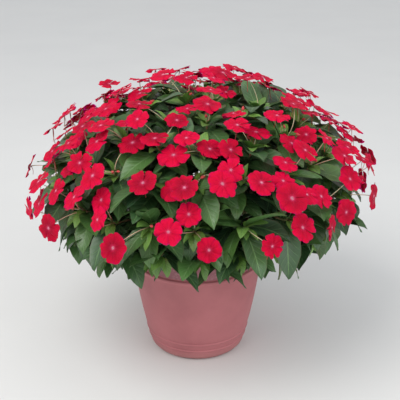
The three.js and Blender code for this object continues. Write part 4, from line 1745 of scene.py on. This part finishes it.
@dataclass
class Plant:
    """The whole clump: lays it out, fills it with further leaves, and builds two pieces for each stem."""

    pot: PotSizes
    whorls: tuple[ExtraWhorl, ...] = (
        ExtraWhorl(
            depth=3.0,
            count=5,
            length=(30.0, 50.0),
            opening=(0.45, 0.95),
            youth=(0.7, 1.0),
            small=True,
            hem_share=1.0,
            room=Clearance(others=2.4, own=1.6, bound=1.02, root_reach=12.0, pot=4.0),
        ),
        ExtraWhorl(
            depth=22.0, count=4, length=(70.0, 104.0), opening=(1.0, 1.5), youth=(0.0, 0.35), hem_share=0.55
        ),
        ExtraWhorl(depth=40.0, count=4, length=(62.0, 98.0), opening=(1.1, 1.7), youth=(0.0, 0.2)),
        ExtraWhorl(depth=64.0, count=4, length=(60.0, 90.0), opening=(1.0, 1.6), youth=(0.0, 0.1)),
        ExtraWhorl(depth=92.0, count=4, length=(60.0, 90.0), opening=(0.9, 1.5), youth=(0.0, 0.1)),
    )
    seed: int = 977

    def build(self) -> list[bpy.types.Object]:
        """Builds and dresses every leafy stem.

        Returns:
            The pieces.
        """
        clump = Clump(GrowthRule(), Mound(), self.pot, LeafForm())
        draws = Draws(self.seed)
        extra = [clump.fill(whorl, draws) for whorl in self.whorls]
        LOG.info("further leaves: %s", [len(added) for added in extra])
        foliage, blossom = Foliage(clump.form), Blossom()
        leaf_finish, petal_finish = FoliageFinish().make(), PetalFinish().make()
        pieces = []
        for stem in clump.stems:
            node = f"leafy_stem_{stem.number + 1:02d}"
            surface = Surface.joined(self._green(foliage, stem, extra, draws))
            thing = surface.to_object(f"{node}_foliage", leaf_finish)
            pieces.append(dress(thing, node))
            blooms = [bloom for shoot in stem.shoots for bloom in shoot.blooms]
            parts = blossom.buds(stem.shoots, draws)
            if blooms:
                parts += [blossom.petals(blooms, draws), *blossom.stalks(blooms, draws)]
            if parts:
                thing = Surface.joined(parts).to_object(f"{node}_blooms", petal_finish)
                pieces.append(dress(thing, node))
        return pieces

    def _green(
        self, foliage: Foliage, stem: Stem, extra: list[list[tuple[Shoot, Leaf]]], draws: Draws
    ) -> list[Surface]:
        """A stem with its side shoots and all their leaves.

        Args:
            foliage: The builder of stems and leaves.
            stem: The stem.
            extra: The further leaves of each whorl, with their shoots.
            draws: The stream that shades them.

        Returns:
            The parts, each as one surface.
        """
        parts = [foliage.stem(stem)]
        if stem.shoots:
            parts.append(foliage.side_shoots(stem.shoots, draws.many(len(stem.shoots))))
        own = [leaf for shoot in stem.shoots for leaf in shoot.leaves]
        if own:
            parts.append(foliage.leaves(own, foliage.large_rows, draws.many(len(own))))
        for whorl, added in zip(self.whorls, extra):
            here = [leaf for shoot, leaf in added if shoot.stem is stem]
            rows = foliage.small_rows if whorl.small else foliage.large_rows
            if here:
                parts.append(foliage.leaves(here, rows, draws.many(len(here))))
        return parts


@dataclass
class Pot:
    """The moulded pot: a fine turned shell with bead lines, a shoulder, a band in low relief and drains.

    A bead is a bell curve on the wall with a groove above it. steps are the heights between the
    section's points, near a bead and away from one.
    """

    sizes: PotSizes
    sides: int = 252
    steps: tuple[float, float] = (0.6, 4.0)
    bead_reach: float = 4.2
    bead_width: float = 1.25
    groove_depth: float = 0.7
    groove_off: float = 3.2
    groove_width: float = 0.8
    band_rows: int = 26
    inner_heights: tuple[float, ...] = (190.0, 150.0, 110.0, 70.0, 30.0)
    zigzags: int = 42
    zigzag_margin: float = 6.0
    line_width: float = 1.1
    line_height: float = 0.45
    drain_cut: tuple[float, float] = (-5.0, 15.0)
    drain_sides: int = 24

    def _wall(self, z: float) -> float:
        """The wall's outer radius at a height."""
        return float(self.sizes.wall_radius(z))

    def _beaded(self) -> list[tuple[float, float]]:
        """The outside of the wall, from above the foot to below the shoulder, with its beads.

        Returns:
            Radius and height of each point.
        """
        p = self.sizes
        points = []
        height = p.wall[0][1] + 1
        while height < p.shoulder[1] - 3:
            near = [bead for bead in p.beads if abs(bead - height) < self.bead_reach]
            radius = self._wall(height)
            if near:
                above = height - near[0]
                proud = p.bead_proud * math.exp(-((above / self.bead_width) ** 2))
                sunk = math.exp(-(((above - self.groove_off) / self.groove_width) ** 2))
                radius = radius + proud - self.groove_depth * sunk
            points.append((radius, height))
            height += self.steps[0] if near else self.steps[1]
        return points

    def section(self) -> list[tuple[float, float]]:
        """The half section, from the middle of the underside round the rim to the middle of the floor.

        Each pair is a radius and a height, with small steps that round the edges.

        Returns:
            Radius and height of each point.
        """
        p = self.sizes
        shoulder, low, high = p.shoulder
        band, start, stop = p.band
        foot = [(0.0, 0.0), (p.foot - 4, 0.0), (p.foot - 1, 0.0), (p.foot + 1.5, 0.8), (p.foot + 5, 3.2)]
        outside = [*foot, *self._beaded()]
        outside += [(self._wall(low) + 0.2, low - 2.2), (shoulder - 0.8, low - 0.2), (shoulder, low + 0.6)]
        outside += [(shoulder, high - 0.8), (shoulder - 0.7, high), (band + 0.2, high + 1.2)]
        outside += [(band - 0.7, start - 1.2), (band - 0.7, start - 0.4), (band, start + 0.4)]
        outside += [(band, z) for z in np.linspace(start + 1.5, stop - 1.5, self.band_rows)]
        outside += [(band, stop - 0.3), (p.rim - 0.6, stop + 0.8), (p.rim, stop + 2.2)]
        outside += [(p.rim, p.height - 2.4), (p.rim - 0.5, p.height - 0.8), (p.rim - 1.6, p.height)]
        outside += [(p.rim_inside + 1.2, p.height), (p.rim_inside + 0.2, p.height - 0.8)]
        inner = [(self._wall(z) - p.thickness, z) for z in self.inner_heights]
        low_wall = p.wall[0][0]
        floor = [(low_wall - p.thickness + 1, 12.0), (low_wall - 6, p.floor), (0.0, p.floor)]
        return [*outside, *inner, *floor]

    def build(self) -> bpy.types.Object:
        """Turns the section round the axis, raises the band's lines and cuts the drains.

        The raised lines lie where the height is near a zigzag, a triangle wave of the angle.

        Returns:
            The pot.
        """
        section = np.array(self.section())
        angle = TURN * np.arange(self.sides) / self.sides
        ring = section[1:-1]
        z = ring[:, 1][:, None]
        band, start, stop = self.sizes.band
        wave = np.abs(((angle * self.zigzags / TURN) % 1) * 2 - 1)
        tall = stop - start - 2 * self.zigzag_margin
        crest = start + self.zigzag_margin + tall * wave
        slope = 2 * tall * self.zigzags / (TURN * band)
        off = np.abs(z - crest) / math.hypot(1, slope)
        line = np.exp(-((off / (self.line_width / 2)) ** 2))
        index = np.arange(len(ring))[:, None]
        rim = int(np.argmax(ring[:, 1]))
        on_band = (z > start + 1) & (z < stop - 1) & (index < rim)
        line = np.where(on_band, line, 0)
        radius = ring[:, 0][:, None] + self.line_height * line
        rings = np.stack([radius * np.cos(angle), radius * np.sin(angle), z * np.ones_like(angle)], axis=-1)
        inside = (index > rim + 2).astype(float)
        ends = np.array([[0.0, 0.0, section[0, 1]], [0.0, 0.0, section[-1, 1]]])
        marks = {"line": line[None], "inside": inside[None]}
        shell = loft(rings[None], ends[:1], ends[1:], marks)
        thing = shell.to_object("moulded_pot", PotFinish().make(start * MM, stop * MM))
        self._drain(thing)
        return dress(thing, "pot")

    def _drain(self, thing: bpy.types.Object) -> None:
        """Cuts the drain holes in the floor.

        Args:
            thing: The pot.
        """
        p = self.sizes
        t = TURN * np.arange(p.drains) / p.drains
        middle = np.stack([p.drain_ring * np.cos(t), p.drain_ring * np.sin(t), np.zeros(p.drains)], axis=1)
        path = middle[:, None] + UP * np.array(self.drain_cut)[:, None]
        holes = tubes(path, np.full((p.drains, 2), p.drain_radius), self.drain_sides, {}, 0.0)
        cutter = holes.to_object("drain_cutter", thing.data.materials[0])
        cut = thing.modifiers.new("drains", "BOOLEAN")
        cut.operation = "DIFFERENCE"
        cut.solver = "EXACT"
        cut.object = cutter
        bpy.context.view_layer.update()
        mesh = bpy.data.meshes.new_from_object(thing.evaluated_get(bpy.context.evaluated_depsgraph_get()))
        thing.modifiers.clear()
        thing.data = mesh
        bpy.data.objects.remove(cutter)


@dataclass
class Soil:
    """The plug of soil: a turned plug with a crumbly top, and loose crumbs and perlite on it."""

    sizes: PotSizes
    sides: int = 120
    rings: int = 34
    side_gap: float = 0.8
    edge_gap: float = 0.6
    chamfer: float = 5.0
    side_heights: tuple[float, ...] = (60.0, 110.0, 150.0, 190.0)
    edge_height: float = 205.0
    hub: float = 0.02
    waves: int = 26
    wave_lengths: tuple[float, float] = (6.0, 42.0)
    wave_height: float = 0.016
    crumbs: int = 420
    crumb_size: tuple[float, float] = (0.8, 2.6)
    crumb_rough: tuple[float, float] = (0.8, 1.1)
    crumb_steps: tuple[float, ...] = (-0.6, 0.0, 0.6)
    crumb_radii: tuple[float, ...] = (0.7, 1.0, 0.75)
    crumb_reach: float = 0.97
    crumb_lift: float = 0.2
    crumb_sides: int = 5
    crumb_rounding: float = 0.5
    perlite_share: float = 0.13
    seed: int = 31

    def heights(self, x: Array, y: Array) -> Array:
        """The top's height: a low crown, with waves of many directions and lengths laid over each other.

        Args:
            x: Across, in millimetres.
            y: Along.

        Returns:
            The heights.
        """
        draw = Draws(self.seed).between
        p = self.sizes
        edge = p.wall_radius(p.soil_level) - p.thickness
        height = p.soil_level + p.soil_crown * (1 - np.hypot(x, y) / edge)
        for _ in range(self.waves):
            turn, length, phase = draw(0, TURN), draw(*self.wave_lengths), draw(0, TURN)
            wave = np.sin((x * math.cos(turn) + y * math.sin(turn)) * TURN / length + phase)
            height = height + self.wave_height * length * wave
        return height

    def build(self) -> bpy.types.Object:
        """Builds the plug and scatters the crumbs.

        Returns:
            The soil.
        """
        p = self.sizes
        angle = TURN * np.arange(self.sides) / self.sides
        cosine, sine, one = np.cos(angle), np.sin(angle), np.ones_like(angle)
        edge = p.wall[-1][0] - p.thickness - self.edge_gap
        low = p.floor + p.seat_gap
        heights = (low + self.chamfer, *self.side_heights)
        side = [(float(p.wall_radius(z)) - p.thickness - self.side_gap, z) for z in heights]
        side = [(side[0][0] - self.chamfer, low), *side, (edge, self.edge_height)]
        radius = np.array([r for r, _ in side])[:, None]
        height = np.array([z for _, z in side])[:, None]
        shell = np.stack([radius * cosine, radius * sine, height * one], axis=-1)
        radius = edge * np.linspace(1, self.hub, self.rings)[:, None]
        x, y = radius * cosine, radius * sine
        top = np.stack([x, y, self.heights(x, y)], axis=-1)
        middle = np.zeros(1)
        ends = np.array([[0, 0, low], [0, 0, float(self.heights(middle, middle)[0])]])
        plug = loft(np.concatenate([shell, top])[None], ends[:1], ends[1:], {"pale": 0.0})
        surface = Surface.joined([plug, self._crumbs(edge)])
        return dress(surface.to_object("potting_soil", SoilFinish().make()), "soil")

    def _crumbs(self, edge: float) -> Surface:
        """Rough lumps of 1 to 4 mm that lie in the top, one in eight of them perlite.

        Args:
            edge: The top's radius.

        Returns:
            The lumps as one surface.
        """
        draws = Draws(self.seed + 1)

        def draw(low: float, high: float) -> Array:
            """A draw for each lump."""
            return draws.many(self.crumbs, low, high)

        r, t = self.crumb_reach * edge * np.sqrt(draw(0, 1)), draw(0, TURN)
        size, pale = draw(*self.crumb_size), draw(0, 1) < self.perlite_share
        x, y = r * np.cos(t), r * np.sin(t)
        middle = np.stack([x, y, self.heights(x, y) + self.crumb_lift * size], axis=1)
        lean = unit(np.stack([draw(-1, 1), draw(-1, 1), draw(0.2, 1)], axis=1))
        path = middle[:, None] + lean[:, None] * (size[:, None] * np.array(self.crumb_steps))[..., None]
        rough = np.stack([draw(*self.crumb_rough) for _ in self.crumb_radii], axis=1)
        radii = size[:, None] * np.array(self.crumb_radii) * rough
        marks = {"pale": pale[:, None, None].astype(float)}
        return tubes(path, radii, self.crumb_sides, marks, self.crumb_rounding)


@dataclass(frozen=True)
class Lamp:
    """A large soft square lamp: its place and side in metres, its power in watts, and its tint."""

    name: str
    at: tuple[float, float, float]
    side: float
    power: float
    tint: Colour

    def build(self, aim: tuple[float, float, float]) -> None:
        """Hangs the lamp so that it shines at a point.

        Args:
            aim: The point.
        """
        data = bpy.data.lights.new(self.name, "AREA")
        data.shape = "SQUARE"
        data.size = self.side
        data.energy = self.power
        data.color = self.tint
        lamp = bpy.data.objects.new(self.name, data)
        lamp.location = self.at
        x, y, z = np.array(aim) - np.array(self.at)
        lamp.rotation_euler = (math.atan2(math.hypot(x, y), -z), 0.0, math.atan2(y, x) - math.pi / 2)
        bpy.context.scene.collection.objects.link(lamp)


@dataclass
class Studio:
    """The camera, the plain pale floor and the soft light."""

    camera_at: tuple[float, float, float] = (0.0058, -1.648, 1.005)
    pitch: float = 22.65
    lens: float = 79.8
    sensor: float = 36.0
    farthest: float = 60.0
    floor_half: float = 60.0
    floor_height: float = -0.2
    aim: tuple[float, float, float] = (0.0, 0.0, 0.3)
    lamps: tuple[Lamp, ...] = (
        Lamp("key_light", (-1.4, -1.5, 2.9), 2.2, 70.0, (1.0, 0.98, 0.95)),
        Lamp("fill_light", (2.2, -1.6, 1.6), 2.4, 25.0, (0.95, 0.98, 1.0)),
    )
    sky: float = 0.75
    sky_tint: Colour = (0.95, 0.97, 1.0)

    def camera(self) -> None:
        """The camera at the photograph's angle: level, and looking down by the pitch."""
        data = bpy.data.cameras.new("camera")
        data.lens = self.lens
        data.sensor_width = self.sensor
        data.sensor_fit = "HORIZONTAL"
        data.clip_end = self.farthest
        camera = bpy.data.objects.new("camera", data)
        camera.location = self.camera_at
        camera.rotation_euler = (math.radians(90 - self.pitch), 0.0, 0.0)
        bpy.context.scene.collection.objects.link(camera)
        bpy.context.scene.camera = camera

    def floor(self) -> None:
        """A flat floor just below the pot's underside."""
        half = self.floor_half / MM
        corners = np.array([[-half, -half], [half, -half], [half, half], [-half, half]])
        points = np.column_stack([corners, np.full(4, self.floor_height)])
        surface = Surface(points, np.array([[0, 1, 2, 3]]), np.zeros((0, 3), int), {})
        surface.to_object("floor", FloorFinish().make())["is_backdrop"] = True

    def build(self) -> None:
        """Makes the floor, the lamps and the pale surroundings."""
        self.floor()
        for lamp in self.lamps:
            lamp.build(self.aim)
        world = bpy.data.worlds.new("studio")
        world.use_nodes = True
        background = world.node_tree.nodes["Background"]
        background.inputs["Color"].default_value = (*self.sky_tint, 1.0)
        background.inputs["Strength"].default_value = self.sky
        scene = bpy.context.scene
        scene.world = world
        scene.view_settings.view_transform = "Standard"


def main() -> None:
    """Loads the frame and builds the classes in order."""
    logging.basicConfig(level=logging.INFO, format="%(name)s: %(message)s")
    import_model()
    solid_box = np.array(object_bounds()).tolist()
    studio = Studio()
    studio.camera()
    studio.build()
    sizes = PotSizes()
    Pot(sizes).build()
    Soil(sizes).build()
    pieces = Plant(sizes).build()
    LOG.info("plant: %d pieces", len(pieces))
    {"cad": solid_box, "visual": np.array(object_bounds()).tolist()}


if __name__ == "__main__":
    main()
